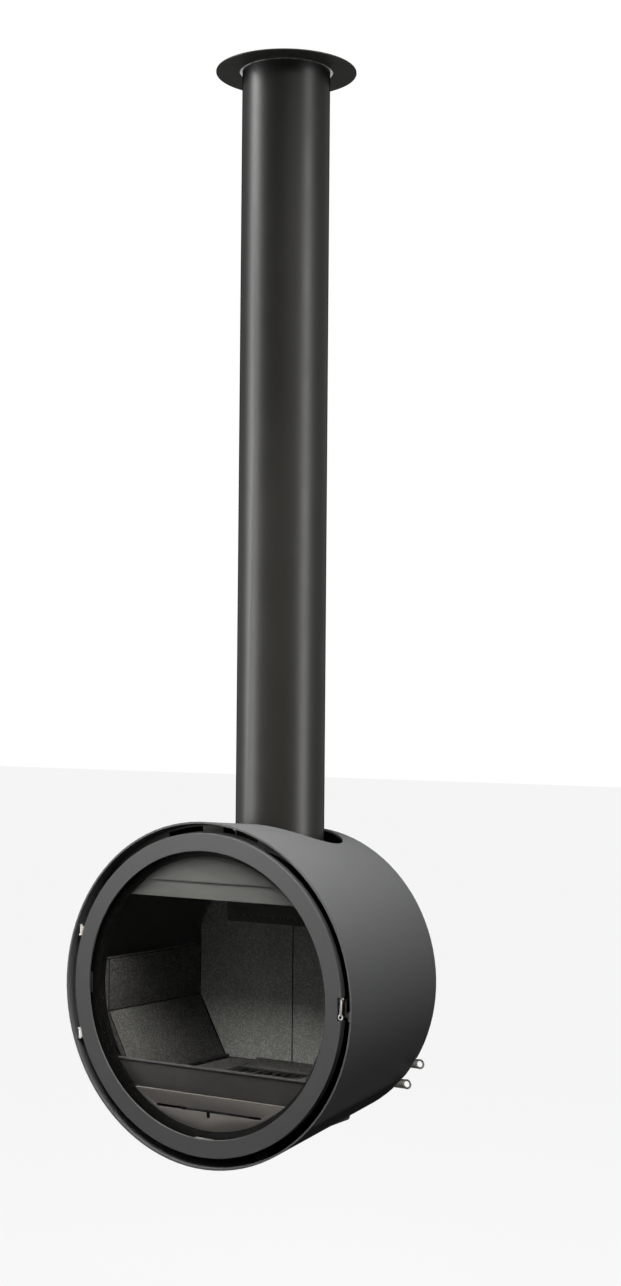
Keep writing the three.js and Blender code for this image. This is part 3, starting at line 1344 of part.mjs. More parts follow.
function latch() {
  const z = LATCH_SHAFT_HEIGHT;
  const rear = HOOK_FRONT + LATCH_THICKNESS;
  const eyeX = LATCH_X - LATCH_EYE_SHIFT;
  const eyeZ = z - LATCH_EYE_DROP;
  const half = LATCH_ARM_WIDTH / 2;
  const lever = new THREE.Shape();
  lever.moveTo(LATCH_X + half, z);
  lever.absarc(LATCH_X, z, half, 0, Math.PI);
  lever.lineTo(eyeX - half, eyeZ + LATCH_EYE_RADIUS);
  lever.lineTo(eyeX + half, eyeZ + LATCH_EYE_RADIUS);
  const thickness = LATCH_THICKNESS;
  const eye = solid(pinAlongY(eyeX, eyeZ, LATCH_EYE_RADIUS, LATCH_SETBACK, LATCH_SETBACK + thickness, 20));
  const eyeHole = solid(pinAlongY(eyeX, eyeZ, LATCH_EYE_HOLE, 0, LATCH_SETBACK + thickness + 1, 20));
  const neck = outline([
    [eyeX - half, eyeZ + LATCH_EYE_HOLE + 1],
    [eyeX + half, eyeZ + LATCH_EYE_HOLE + 1],
    [eyeX + half, eyeZ + LATCH_EYE_RADIUS + 1],
    [eyeX - half, eyeZ + LATCH_EYE_RADIUS + 1],
  ]);
  const shaftHole = solid(pinAlongY(LATCH_X, z, LATCH_SHAFT_RADIUS / 2 + PIN_PLAY, 0, rear + 1));
  const arm = solid(facing(lever, LATCH_SETBACK, thickness));
  const link = solid(facing(neck, LATCH_SETBACK, thickness));
  add('latch_lever', BARE_STEEL(), cut(joined([arm, eye, link]), [eyeHole, shaftHole]));
  add('latch_shaft', BARE_STEEL(), pinAlongY(LATCH_X, z, LATCH_SHAFT_RADIUS / 2, LATCH_SETBACK, rear));
  const hook = new THREE.Shape();
  hook.moveTo(LATCH_X + half, z);
  hook.absarc(LATCH_X, z, half, 0, Math.PI);
  hook.lineTo(LATCH_X - half, eyeZ - half);
  hook.lineTo(LATCH_X + half + LATCH_NOSE, eyeZ - half);
  hook.lineTo(LATCH_X + half + LATCH_NOSE, eyeZ + half);
  hook.lineTo(LATCH_X + half, eyeZ + half + LATCH_NOSE);
  add('latch_hook', BARE_STEEL(), solid(facing(hook, HOOK_FRONT, LATCH_THICKNESS)).subtract(shaftHole));
  const plate = solid(box(
    DOOR_RADIUS - LATCH_NOTCH_DEPTH - LATCH_NOSE,
    LATCH_X + half + 1,
    atDepth(BRACKET_FRONT),
    atDepth(BRACKET_FRONT) + LATCH_THICKNESS,
    z - half - 2,
    LATCH_NOTCH_HALF - RUNNING,
  ));
  const bush = solid(pinAlongY(LATCH_X, z, half, BRACKET_FRONT, HOOK_FRONT - RUNNING));
  add('latch_bracket', ZINC(), plate.add(bush).subtract(shaftHole));
}

// The tongue that the hook's nose catches behind.
function latchKeeper() {
  const eyeZ = LATCH_SHAFT_HEIGHT - LATCH_EYE_DROP;
  const rear = atDepth(FLANGE_DEPTH - FIT);
  const tongueRear = atDepth(HOOK_FRONT) - RUNNING;
  const post = solid(box(
    KEEPER_OUTER - LUG_THICKNESS,
    KEEPER_OUTER,
    tongueRear - LUG_THICKNESS,
    rear,
    eyeZ - 2 * LATCH_NOSE,
    eyeZ + 2 * LATCH_NOSE,
  ));
  const tongue = solid(box(
    KEEPER_INNER,
    KEEPER_OUTER,
    tongueRear - LUG_THICKNESS,
    tongueRear,
    eyeZ - 2 * LATCH_NOSE,
    eyeZ + 2 * LATCH_NOSE,
  ));
  add('latch_keeper', BARE_STEEL(), post.add(tongue));
}

// ---------------------------------------------------------------- flue

function flue() {
  const low = COLLAR_SHOULDER - COLLAR_SHOULDER_HEIGHT;
  const spigot = FLUE_RADIUS - FLUE_WALL - FIT;
  const tube = solid(upright([
    [OUTLET_RADIUS, 0],
    [OUTLET_RADIUS + COLLAR_WALL, 0],
    [OUTLET_RADIUS + COLLAR_WALL, low],
    [FLUE_RADIUS, low],
    [FLUE_RADIUS, COLLAR_SHOULDER],
    [spigot, COLLAR_SHOULDER],
    [spigot, COLLAR_TOP],
    [spigot - COLLAR_WALL, COLLAR_TOP],
    [spigot - COLLAR_WALL, COLLAR_SHOULDER],
    [OUTLET_RADIUS, COLLAR_SHOULDER],
  ], COARSE, 0, FLUE_Y));
  const skirtProfile = ring(OUTLET_RADIUS, OUTLET_RADIUS + SADDLE_WIDTH, 0, low - WELD);
  const skirt = solid(upright(skirtProfile, COARSE, 0, FLUE_Y));
  const saddle = skirt.intersect(cone(shellOuter, FIT + COLLAR_WALL));
  add('flue_collar', IRON(), tube.add(saddle).subtract(cone(shellOuter, FIT)));
  add('flue_pipe', ANTHRACITE(), upright(
    ring(FLUE_RADIUS - FLUE_WALL, FLUE_RADIUS, COLLAR_SHOULDER + FIT, FLUE_TOP),
    MEDIUM,
    0,
    FLUE_Y,
  ));
}

function rosette() {
  const hole = FLUE_RADIUS + ROSETTE_GAP;
  add('ceiling_rosette', ANTHRACITE(), upright(
    ring(hole, ROSETTE_RADIUS, CEILING - ROSETTE_THICKNESS, CEILING),
    FINE,
    0,
    FLUE_Y,
  ));
  const bottom = CEILING - ROSETTE_THICKNESS / 2;
  const sleeve = ring(FLUE_RADIUS + FIT, hole - FIT, bottom, FLUE_TOP);
  add('ceiling_sleeve', ZINC(), upright(sleeve, MEDIUM, 0, FLUE_Y));
}

// ---------------------------------------------------------------- wall bracket

function hangBar() {
  const front = BACK_DEPTH + BACK_THICKNESS + FIT;
  const barFront = front + HANG_STANDOFF;
  const top = HANG_BAR_BOTTOM + HANG_BAR_SIZE;
  const bar = solid(box(
    -HANG_BAR_HALF,
    HANG_BAR_HALF,
    atDepth(barFront),
    atDepth(barFront) + HANG_BAR_SIZE,
    HANG_BAR_BOTTOM,
    top,
  ));
  const feet = [-1, 1].map((side) => solid(box(
    side * HANG_FOOT_X - HANG_FOOT_WIDTH / 2,
    side * HANG_FOOT_X + HANG_FOOT_WIDTH / 2,
    atDepth(front),
    atDepth(barFront) + 1,
    HANG_BAR_BOTTOM,
    top,
  )));
  add('hang_bar', DARK_STEEL(), joined([bar, ...feet]));
}

const anchorPlaces = () => {
  const x = PLATE_HALF_WIDTH - ANCHOR_INSET;
  const places = [];
  for (const side of [-1, 1]) {
    places.push([side * x, PLATE_BOTTOM + ANCHOR_INSET], [side * x, PLATE_TOP - ANCHOR_INSET]);
  }
  return places;
};

// A wall plate with two upright arms; the hanging bar drops into their open notches.
function wallBracket() {
  const plateFront = WALL_GAP + CASING_DEPTH - PLATE_THICKNESS;
  const plate = solid(box(
    -PLATE_HALF_WIDTH,
    PLATE_HALF_WIDTH,
    -PLATE_THICKNESS,
    0,
    PLATE_BOTTOM,
    PLATE_TOP,
  ));
  const barFront = ARM_FRONT + HANG_STANDOFF;
  const notchFront = barFront - FIT;
  const notchRear = barFront + HANG_BAR_SIZE + RUNNING;
  const arm = outline([
    [plateFront + 1, ARM_BOTTOM],
    [plateFront + 1, ARM_TOP],
    [notchRear, ARM_TOP],
    [notchRear, HANG_BAR_BOTTOM - FIT],
    [notchFront, HANG_BAR_BOTTOM - FIT],
    [notchFront, ARM_TOP],
    [ARM_FRONT + FIT, ARM_TOP],
    [ARM_FRONT + FIT, ARM_BOTTOM],
  ]);
  const arms = [-1, 1].map((side) => solid(sideways(arm, side * ARM_X - ARM_THICKNESS / 2, ARM_THICKNESS)));
  const holes = anchorPlaces().map(([x, z]) => {
    const depth = WALL_GAP + CASING_DEPTH;
    return solid(pinAlongY(x, z, ANCHOR_RADIUS + FIT, depth - PLATE_THICKNESS - 1, depth + 1));
  });
  add('wall_bracket', DARK_STEEL(), cut(joined([plate, ...arms]), holes));
  anchorPlaces().forEach(([x, z], i) => {
    const head = new THREE.LatheGeometry([
      new THREE.Vector2(0, -ANCHOR_HEAD_HEIGHT - FIT - PLATE_THICKNESS),
      new THREE.Vector2(ANCHOR_HEAD_RADIUS, -ANCHOR_HEAD_HEIGHT - FIT - PLATE_THICKNESS),
      new THREE.Vector2(ANCHOR_HEAD_RADIUS, -FIT - PLATE_THICKNESS),
      new THREE.Vector2(ANCHOR_RADIUS, -FIT - PLATE_THICKNESS),
      new THREE.Vector2(ANCHOR_RADIUS, 0),
      new THREE.Vector2(0, 0),
    ], 6);
    head.translate(x, 0, z);
    add(`wall_anchor_${i + 1}`, ZINC(), head);
  });
}

// ---------------------------------------------------------------- the whole stove

casingShell();
frontGrille();
rearCover();
mouthFlange();
fireboxShell();
fireboxBack();
sidePanels();
backPanels();
firefloor();
grate();
emberRails();
fenceAndApron();
deflector();
secondaryAir();
baffle();
ashPan();
airChest();
SLIDES.forEach(airSlide);
doorRing();
doorGlazing();
ropeSeal();
hinges();
latch();
latchKeeper();
flue();
rosette();
hangBar();
wallBracket();

export default object;
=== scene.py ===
# %% [markdown]
# # A hanging wood stove
#
# A round steel drum hangs on a wall bracket, with a glazed door, a lined firebox and a flue
# that runs up to the ceiling. Its solids come ready made, as a fixed frame with a node for
# each piece. Modelling the large shapes again could leave a door that no longer fits its
# rim. So this lesson keeps every solid's shape and dresses a copy of it: rounded edges,
# smooth shading, screws, rope and procedural finishes.

import json
import math

import bmesh
import bpy
from mathutils import Matrix, Vector


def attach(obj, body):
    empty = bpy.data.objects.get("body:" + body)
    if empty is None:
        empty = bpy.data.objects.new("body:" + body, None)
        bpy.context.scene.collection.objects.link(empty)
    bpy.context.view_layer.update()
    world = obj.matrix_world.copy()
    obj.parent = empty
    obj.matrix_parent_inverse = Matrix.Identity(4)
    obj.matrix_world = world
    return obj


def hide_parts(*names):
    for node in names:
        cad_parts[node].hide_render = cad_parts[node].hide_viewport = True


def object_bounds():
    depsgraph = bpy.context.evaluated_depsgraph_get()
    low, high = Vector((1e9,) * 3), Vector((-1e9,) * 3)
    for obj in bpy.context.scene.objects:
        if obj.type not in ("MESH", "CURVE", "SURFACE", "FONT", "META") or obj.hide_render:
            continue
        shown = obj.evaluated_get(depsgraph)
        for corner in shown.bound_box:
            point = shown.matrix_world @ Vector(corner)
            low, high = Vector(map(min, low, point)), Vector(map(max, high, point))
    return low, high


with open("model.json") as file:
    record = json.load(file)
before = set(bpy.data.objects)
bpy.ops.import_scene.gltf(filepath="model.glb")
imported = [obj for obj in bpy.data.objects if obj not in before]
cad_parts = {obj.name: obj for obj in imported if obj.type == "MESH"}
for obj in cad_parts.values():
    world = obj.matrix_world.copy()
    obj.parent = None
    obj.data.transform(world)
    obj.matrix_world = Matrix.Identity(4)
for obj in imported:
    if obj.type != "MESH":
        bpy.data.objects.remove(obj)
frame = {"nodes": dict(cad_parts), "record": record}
cad_box = [[float(value) for value in corner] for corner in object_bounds()]
nodes = frame["nodes"]
bodies = frame["record"]["behaviour"]["bodies"]
body_of_node = {node: body for body, members in bodies.items() for node in members}

# %% [markdown]
# ## Measures
#
# Everything is in metres, in the frame's own axes: the drum's axis is Y, the wall is at zero
# and the front rim at minus half a metre. The rim's place could be typed in again, but it is
# read from the box of the solids, so that it can't drift from them. Screws and rope are
# placed from it. The two axes are the lines about which the round pieces were turned.

# %% Measures
MM = 0.001
FRONT = cad_box[0][1]
FLUE_Y = -200 * MM
DRUM_AXIS = (Vector((0, 0, 0)), Vector((0, 1, 0)))
FLUE_AXIS = (Vector((0, FLUE_Y, 0)), Vector((0, 0, 1)))
print("front rim at y", FRONT, "m; flue at y", FLUE_Y, "m")

# %% [markdown]
# ## Camera
#
# The camera stands to the right of the drum and above its axis. A constraint could aim it at
# a point, but it would leave out the small roll of a camera held by hand. So its place, yaw,
# pitch and roll were found by matching the ellipses of rim and door, and a matrix made of the
# three view directions sets them all at once.

# %% Camera
YAW, PITCH, ROLL = -0.549734, 0.0288425, 0.0082092
CAMERA_PLACE = Vector((2.2651, -3.7713, 0.6307))
LENS = 52.42
SENSOR_WIDTH = 36
FARTHEST = 100


def camera_matrix():
    forward = Vector((
        math.sin(YAW) * math.cos(PITCH),
        math.cos(YAW) * math.cos(PITCH),
        math.sin(PITCH),
    ))
    level = Vector((math.cos(YAW), -math.sin(YAW), 0))
    above = level.cross(forward)
    right = math.cos(ROLL) * level + math.sin(ROLL) * above
    up = -math.sin(ROLL) * level + math.cos(ROLL) * above
    turn = Matrix((right, up, -forward)).transposed().to_4x4()
    return Matrix.Translation(CAMERA_PLACE) @ turn


scene = bpy.context.scene
camera = bpy.data.objects.new("camera", bpy.data.cameras.new("camera"))
camera.data.lens = LENS
camera.data.sensor_width = SENSOR_WIDTH
camera.data.clip_end = FARTHEST
camera.matrix_world = camera_matrix()
scene.collection.objects.link(camera)
scene.camera = camera
print("camera at", tuple(round(value, 3) for value in camera.location))

# %% [markdown]
# ## Node helpers
#
# Each finish is a small node tree. Painted images could give the same grain, but every piece
# would need its own unwrapped map. So the trees read Object coordinates, which keep a grain
# at its real size whatever piece it lies on. The first helper starts such a material. Each of
# the others adds one step and wires it up. A noise seldom leaves the middle of its range, so
# the finishes spread that middle over their two tones.


# %% Start a material
def start_material(name, roughness, metallic=0.0):
    material = bpy.data.materials.new(name)
    material.use_nodes = True
    tree = material.node_tree
    shader = tree.nodes["Principled BSDF"]
    shader.inputs["Roughness"].default_value = roughness
    shader.inputs["Metallic"].default_value = metallic
    place = tree.nodes.new("ShaderNodeTexCoord").outputs["Object"]
    return material, tree, shader, place


print("a material starts with Object coordinates")


# %% Patterns
def noise(tree, place, scale, detail=3.0, roughness=0.5, stretch=None):
    if stretch:
        mapping = tree.nodes.new("ShaderNodeMapping")
        mapping.inputs["Scale"].default_value = stretch
        tree.links.new(place, mapping.inputs["Vector"])
        place = mapping.outputs["Vector"]
    node = tree.nodes.new("ShaderNodeTexNoise")
    node.inputs["Scale"].default_value = scale
    node.inputs["Detail"].default_value = detail
    node.inputs["Roughness"].default_value = roughness
    tree.links.new(place, node.inputs["Vector"])
    return node.outputs["Fac"]


def cells(tree, place, scale):
    pattern = tree.nodes.new("ShaderNodeTexVoronoi")
    pattern.inputs["Scale"].default_value = scale
    tree.links.new(place, pattern.inputs["Vector"])
    split = tree.nodes.new("ShaderNodeSeparateColor")
    tree.links.new(pattern.outputs["Color"], split.inputs["Color"])
    return split.outputs["Red"], pattern.outputs["Distance"]


print("patterns: noise and cells")

# %% Tones and ranges
NOISE_LOW, NOISE_HIGH = 0.3, 0.7


def ramp(tree, factor, stops):
    node = tree.nodes.new("ShaderNodeValToRGB")
    elements = node.color_ramp.elements
    while len(elements) < len(stops):
        elements.new(0.5)
    for element, (position, colour) in zip(elements, stops):
        element.position = position
        element.color = (*colour, 1) if isinstance(colour, tuple) else (colour, colour, colour, 1)
    tree.links.new(factor, node.inputs["Fac"])
    return node.outputs["Color"]


def two_tone(tree, factor, dark, light):
    return ramp(tree, factor, [(NOISE_LOW, dark), (NOISE_HIGH, light)])


def ranged(tree, value, low, high, start=0.0, end=1.0):
    node = tree.nodes.new("ShaderNodeMapRange")
    node.inputs["From Min"].default_value = start
    node.inputs["From Max"].default_value = end
    node.inputs["To Min"].default_value = low
    node.inputs["To Max"].default_value = high
    tree.links.new(value, node.inputs["Value"])
    return node.outputs["Result"]


def between(tree, factor, low, high):
    return ranged(tree, factor, low, high, NOISE_LOW, NOISE_HIGH)


print("tones are spread over", NOISE_LOW, "to", NOISE_HIGH)


# %% Bump and mix
def bump(tree, shader, height, strength, depth):
    node = tree.nodes.new("ShaderNodeBump")
    node.inputs["Strength"].default_value = strength
    node.inputs["Distance"].default_value = depth
    tree.links.new(height, node.inputs["Height"])
    tree.links.new(node.outputs["Normal"], shader.inputs["Normal"])


def mix(tree, factor, first, second, blend="MIX"):
    node = tree.nodes.new("ShaderNodeMix")
    node.data_type = "RGBA"
    node.blend_type = blend
    colours = {socket.name: socket for socket in node.inputs if socket.type == "RGBA"}
    feeds = ((node.inputs["Factor"], factor), (colours["A"], first), (colours["B"], second))
    for socket, value in feeds:
        if isinstance(value, bpy.types.NodeSocket):
            tree.links.new(value, socket)
        else:
            socket.default_value = value if isinstance(value, float) else (*value, 1)
    return next(socket for socket in node.outputs if socket.type == "RGBA")


print("bump and mix ready")

# %% [markdown]
# ## Stove paint
#
# The drum, door and flue carry a satin high-temperature paint, nearly black and very even. A
# single flat colour would do from far away, but it looks like plastic. What gives paint away
# is its sheen: soft bands that follow the lamps. So the colour hardly changes, a fine sprayed
# grain sits in the bump, and the roughness wanders a little. Matt pigment scatters the sheen
# away at a flat angle, so it fades towards the silhouette. The flue's copy of the paint is
# darker and slightly warmer: its darkness is painted shade, since the pipe gets less light.

# %% Stove paint
SHEEN_FULL, SHEEN_GONE = 0.35, 0.85
PAINT_WANDER = 0.02


def fading_sheen(tree, gloss):
    edge = tree.nodes.new("ShaderNodeLayerWeight")
    edge.inputs["Blend"].default_value = 0.5
    return ranged(tree, edge.outputs["Facing"], gloss, 0.0, SHEEN_FULL, SHEEN_GONE)


def stove_paint(name, dark, light, roughness, gloss):
    material, tree, shader, place = start_material(name, roughness)
    clouds = noise(tree, place, scale=3.0)
    tree.links.new(two_tone(tree, clouds, dark, light), shader.inputs["Base Color"])
    patches = noise(tree, place, scale=14.0)
    wander = between(tree, patches, roughness - PAINT_WANDER, roughness + PAINT_WANDER)
    tree.links.new(wander, shader.inputs["Roughness"])
    sprayed = noise(tree, place, scale=900.0, detail=2.0)
    bump(tree, shader, sprayed, strength=0.10, depth=0.08 * MM)
    tree.links.new(fading_sheen(tree, gloss), shader.inputs["Specular IOR Level"])
    return material


print("paint sheen fades from", SHEEN_FULL, "to", SHEEN_GONE)

# %% The painted finishes
DRUM_PAINT = stove_paint(
    "drum_paint", dark=(0.087, 0.087, 0.088), light=(0.093, 0.093, 0.094),
    roughness=0.50, gloss=0.02,
)
DOOR_PAINT = stove_paint(
    "door_paint", dark=(0.076, 0.076, 0.076), light=(0.082, 0.082, 0.082),
    roughness=0.50, gloss=0.01,
)
# The flue's paint is the stove paint made much darker: painted shade, for the pipe gets less
# light.
SHADED_FLUE_PAINT = stove_paint(
    "flue_paint_painted_shade", dark=(0.0100, 0.0097, 0.0080), light=(0.0120, 0.0116, 0.0096),
    roughness=0.40, gloss=0.10,
)
ROSETTE_PAINT = stove_paint(
    "rosette_paint", dark=(0.120, 0.120, 0.108), light=(0.132, 0.132, 0.119),
    roughness=0.50, gloss=0.05,
)
# The grille's paint is the stove paint made lighter: painted light that offsets the shade of the
# rim above it.
LIT_GRILLE_PAINT = stove_paint(
    "grille_paint_painted_light", dark=(0.150, 0.150, 0.138), light=(0.168, 0.168, 0.155),
    roughness=0.50, gloss=0.04,
)
REAR_PAINT = stove_paint(
    "rear_paint", dark=(0.030, 0.030, 0.031), light=(0.036, 0.036, 0.037),
    roughness=0.55, gloss=0.12,
)
paints = (DRUM_PAINT, DOOR_PAINT, SHADED_FLUE_PAINT, ROSETTE_PAINT, LIT_GRILLE_PAINT, REAR_PAINT)
print("paints:", *(paint.name for paint in paints))

# %% [markdown]
# ## Heated steel and iron
#
# Inside the door the paint has been burnt matt. It turns patchy, with pale ash in places, and
# brownish low down. The grate and the rails are cast, so their skin is coarser and pitted.
# The stains could be made one by one, but all these finishes differ only in tone and grain.
# So one function makes them: a slow noise for the patches, a fast one for the ash and a third
# for the skin.


# %% Heated steel and iron
def heated(name, dark, light, ash, roughness, grain, relief):
    material, tree, shader, place = start_material(name, roughness)
    patches = noise(tree, place, scale=9.0, detail=6.0, roughness=0.6)
    burnt = ramp(tree, patches, [(0.32, dark), (0.68, light)])
    specks = noise(tree, place, scale=160.0, detail=5.0, roughness=0.7)
    dust = ramp(tree, specks, [(0.55, 0.0), (0.85, 0.30)])
    tree.links.new(mix(tree, dust, burnt, ash), shader.inputs["Base Color"])
    wander = between(tree, patches, roughness - 0.08, roughness + 0.1)
    tree.links.new(wander, shader.inputs["Roughness"])
    skin = noise(tree, place, scale=grain, detail=4.0, roughness=0.65)
    bump(tree, shader, skin, strength=0.4, depth=relief)
    shader.inputs["Specular IOR Level"].default_value = 0.03
    return material


print("heated finishes share one function")

# %% The sheet finishes
# Near black: soot, plus painted shade for the inner drum's wall, which gets almost no light.
SOOT_AND_SHADE_STEEL = heated(
    "soot_and_painted_shade_steel", dark=(0.003, 0.003, 0.003), light=(0.005, 0.005, 0.004),
    ash=(0.010, 0.010, 0.009), roughness=0.8, grain=620.0, relief=0.15 * MM,
)
HOOD_STEEL = heated(
    "hood_steel", dark=(0.105, 0.107, 0.096), light=(0.118, 0.119, 0.108),
    ash=(0.12, 0.12, 0.11), roughness=0.60, grain=700.0, relief=0.05 * MM,
)
CHANNEL_STEEL = heated(
    "channel_steel", dark=(0.115, 0.118, 0.106), light=(0.14, 0.143, 0.13),
    ash=(0.15, 0.15, 0.138), roughness=0.60, grain=700.0, relief=0.05 * MM,
)
APRON_STEEL = heated(
    "apron_steel", dark=(0.130, 0.119, 0.108), light=(0.152, 0.139, 0.126),
    ash=(0.13, 0.12, 0.11), roughness=0.60, grain=700.0, relief=0.05 * MM,
)
print("sheets:", SOOT_AND_SHADE_STEEL.name, HOOD_STEEL.name, CHANNEL_STEEL.name, APRON_STEEL.name)

# %% The iron finishes
CAST_IRON = heated(
    "cast_iron", dark=(0.020, 0.020, 0.020), light=(0.045, 0.044, 0.043),
    ash=(0.10, 0.095, 0.09), roughness=0.70, grain=420.0, relief=0.35 * MM,
)
FENCE_IRON = heated(
    "fence_iron", dark=(0.048, 0.046, 0.043), light=(0.064, 0.061, 0.057),
    ash=(0.12, 0.11, 0.10), roughness=0.55, grain=520.0, relief=0.08 * MM,
)
print("irons:", CAST_IRON.name, FENCE_IRON.name)

# %% [markdown]
# ## Bare steel and galvanised sheet
#
# The air tabs, hinges and latch are bare steel with fine rolling lines. A scratched image
# could show them, but a noise stretched a long way along one axis draws the same lines at any
# size. A second noise stains them. Galvanised sheet shows flat grey crystals instead, which
# cells of one tone each give.


# %% Bare steel and galvanised sheet
def bare_steel(name, dark, light, roughness, stretch):
    material, tree, shader, place = start_material(name, roughness, metallic=1.0)
    lines = noise(tree, place, scale=60.0, detail=4.0, roughness=0.6, stretch=stretch)
    stains = noise(tree, place, scale=45.0, detail=4.0, roughness=0.6)
    streaked = two_tone(tree, lines, dark, light)
    worn = ramp(tree, stains, [(0.35, (0.62, 0.58, 0.52)), (0.6, (1.0, 1.0, 1.0))])
    tree.links.new(mix(tree, 1.0, streaked, worn, "MULTIPLY"), shader.inputs["Base Color"])
    wander = between(tree, lines, roughness - 0.07, roughness + 0.1)
    tree.links.new(wander, shader.inputs["Roughness"])
    bump(tree, shader, lines, strength=0.3, depth=0.08 * MM)
    return material


def galvanised(name, dark, light):
    material, tree, shader, place = start_material(name, roughness=0.45, metallic=1.0)
    crystals, _ = cells(tree, place, scale=140.0)
    tree.links.new(ramp(tree, crystals, [(0.0, dark), (1.0, light)]), shader.inputs["Base Color"])
    tree.links.new(between(tree, crystals, 0.38, 0.52), shader.inputs["Roughness"])
    bump(tree, shader, noise(tree, place, scale=500.0), strength=0.15, depth=0.1 * MM)
    return material


print("bare metals: steel and zinc")

# %% The bare metals
TAB_STEEL = bare_steel(
    "tab_steel", dark=(0.24, 0.23, 0.212), light=(0.36, 0.343, 0.318),
    roughness=0.40, stretch=(1.0, 30.0, 30.0),
)
LATCH_STEEL = bare_steel(
    "latch_steel", dark=(0.09, 0.088, 0.083), light=(0.20, 0.195, 0.185),
    roughness=0.42, stretch=(30.0, 30.0, 1.0),
)
GALVANISED = galvanised("galvanised_sheet", dark=(0.34, 0.345, 0.35), light=(0.52, 0.525, 0.53))
DULL_ZINC = galvanised("dull_zinc", dark=(0.030, 0.031, 0.032), light=(0.060, 0.061, 0.062))
print("metals:", TAB_STEEL.name, LATCH_STEEL.name, GALVANISED.name, DULL_ZINC.name)

# %% [markdown]
# ## Vermiculite
#
# The lining is pressed from mineral flakes a few millimetres across. Seen close, each flake is
# a slightly different grey-brown, some catch the light, and soot darkens the panels in
# clouds. A plain noise would blur the flakes together, so cells stand for them, and a slow
# noise multiplies in the soot. The side and upper panels are given the darkest tones: partly
# soot, and partly painted shade, since little light reaches them through the door.

# %% Vermiculite
GLINT = 1.5


def vermiculite(name, dark, light, soot):
    material, tree, shader, place = start_material(name, roughness=0.9)
    flakes, edges = cells(tree, place, scale=420.0)
    bright = tuple(GLINT * value for value in light)
    body = ramp(tree, flakes, [(0.0, dark), (0.55, light), (1.0, bright)])
    smoke = noise(tree, place, scale=6.0, detail=5.0, roughness=0.6)
    clouds = ramp(tree, smoke, [(0.35, soot), (0.65, 1.0)])
    tree.links.new(mix(tree, 1.0, body, clouds, "MULTIPLY"), shader.inputs["Base Color"])
    bump(tree, shader, edges, strength=0.4, depth=0.3 * MM)
    shader.inputs["Specular IOR Level"].default_value = 0.02
    return material


BACK_LINING = vermiculite(
    "back_vermiculite", dark=(0.50, 0.505, 0.46), light=(0.62, 0.625, 0.575), soot=0.85,
)
# The side and upper linings are darkened with soot and with painted shade.
SHADED_SIDE_LINING = vermiculite(
    "side_vermiculite_painted_shade", dark=(0.050, 0.050, 0.045), light=(0.080, 0.079, 0.072), soot=0.80,
)
SOOT_AND_SHADE_LINING = vermiculite(
    "soot_and_painted_shade_vermiculite", dark=(0.050, 0.048, 0.044), light=(0.085, 0.082, 0.075), soot=0.70,
)
FLOOR_LINING = vermiculite(
    "floor_vermiculite", dark=(0.085, 0.080, 0.074), light=(0.17, 0.16, 0.148), soot=0.60,
)
print("linings:", BACK_LINING.name, SHADED_SIDE_LINING.name, SOOT_AND_SHADE_LINING.name, FLOOR_LINING.name)

# %% [markdown]
# ## Glass and fibre
#
# Ceramic glass is a thin flat pane, so light passes it almost straight. A transmitting glass
# would bend the picture and dim the firebox. A low alpha does neither, and the pane keeps a
# faint reflection and a breath of soot. The rope and the tape are spun from dark mineral
# fibre: matt, with a slight fuzz, which a little sheen stands for.


# %% Glass and fibre
def pane_glass(name):
    material, tree, shader, place = start_material(name, roughness=0.04)
    soot = noise(tree, place, scale=5.0, detail=4.0, roughness=0.6)
    haze = two_tone(tree, soot, (0.010, 0.010, 0.009), (0.020, 0.019, 0.017))
    tree.links.new(haze, shader.inputs["Base Color"])
    shader.inputs["Alpha"].default_value = 0.05
    shader.inputs["Specular IOR Level"].default_value = 0.15
    material.surface_render_method = "BLENDED"
    return material


def fibre(name, dark, light, fineness):
    material, tree, shader, place = start_material(name, roughness=0.95)
    threads = noise(tree, place, scale=fineness, detail=4.0, roughness=0.7)
    tree.links.new(two_tone(tree, threads, dark, light), shader.inputs["Base Color"])
    bump(tree, shader, threads, strength=0.6, depth=0.3 * MM)
    shader.inputs["Sheen Weight"].default_value = 0.2
    return material


GLASS = pane_glass("pane_glass")
ROPE = fibre("fibre_rope", (0.022, 0.022, 0.022), (0.060, 0.060, 0.060), fineness=900.0)
TAPE = fibre("fibre_tape", (0.030, 0.030, 0.030), (0.075, 0.075, 0.075), fineness=1500.0)
print("glass and fibre:", GLASS.name, ROPE.name, TAPE.name)

# %% [markdown]
# ## Smooth and rounded
#
# The solids are made of flat facets with dead sharp edges, which no folded or cast piece
# has. Subdividing them would swell the flat faces, so each is copied, its coplanar triangles
# are joined, and its sharp edges get a small bevel. A second material can lie on the bevels
# alone, as painted shade along seams.

# %% Copy a solid
WELD = 0.002 * MM
FLAT = math.radians(0.2)


def merged_copy(node):
    mesh = bmesh.new()
    mesh.from_mesh(nodes[node].data)
    bmesh.ops.remove_doubles(mesh, verts=mesh.verts, dist=WELD)
    inner = [edge for edge in mesh.edges if len(edge.link_faces) == 2]
    bmesh.ops.dissolve_limit(mesh, angle_limit=FLAT, verts=mesh.verts, edges=inner)
    return mesh


print("points within", WELD, "m are merged")

# %% Round its edges
SHARP = math.radians(28)
SHORTEST_EDGE = 0.3  # of the bevel's width
BEVEL_SEGMENTS = 2


def is_sharp(edge, width):
    if len(edge.link_faces) != 2:
        return False
    return edge.calc_face_angle(0) > SHARP and edge.calc_length() > SHORTEST_EDGE * width


def round_edges(mesh, width, slot):
    bmesh.ops.bevel(
        mesh,
        geom=[edge for edge in mesh.edges if is_sharp(edge, width)],
        offset=width,
        offset_type="OFFSET",
        segments=BEVEL_SEGMENTS,
        profile=0.5,
        affect="EDGES",
        clamp_overlap=True,
        material=slot,
    )


print("edges over", round(math.degrees(SHARP)), "degrees are rounded")

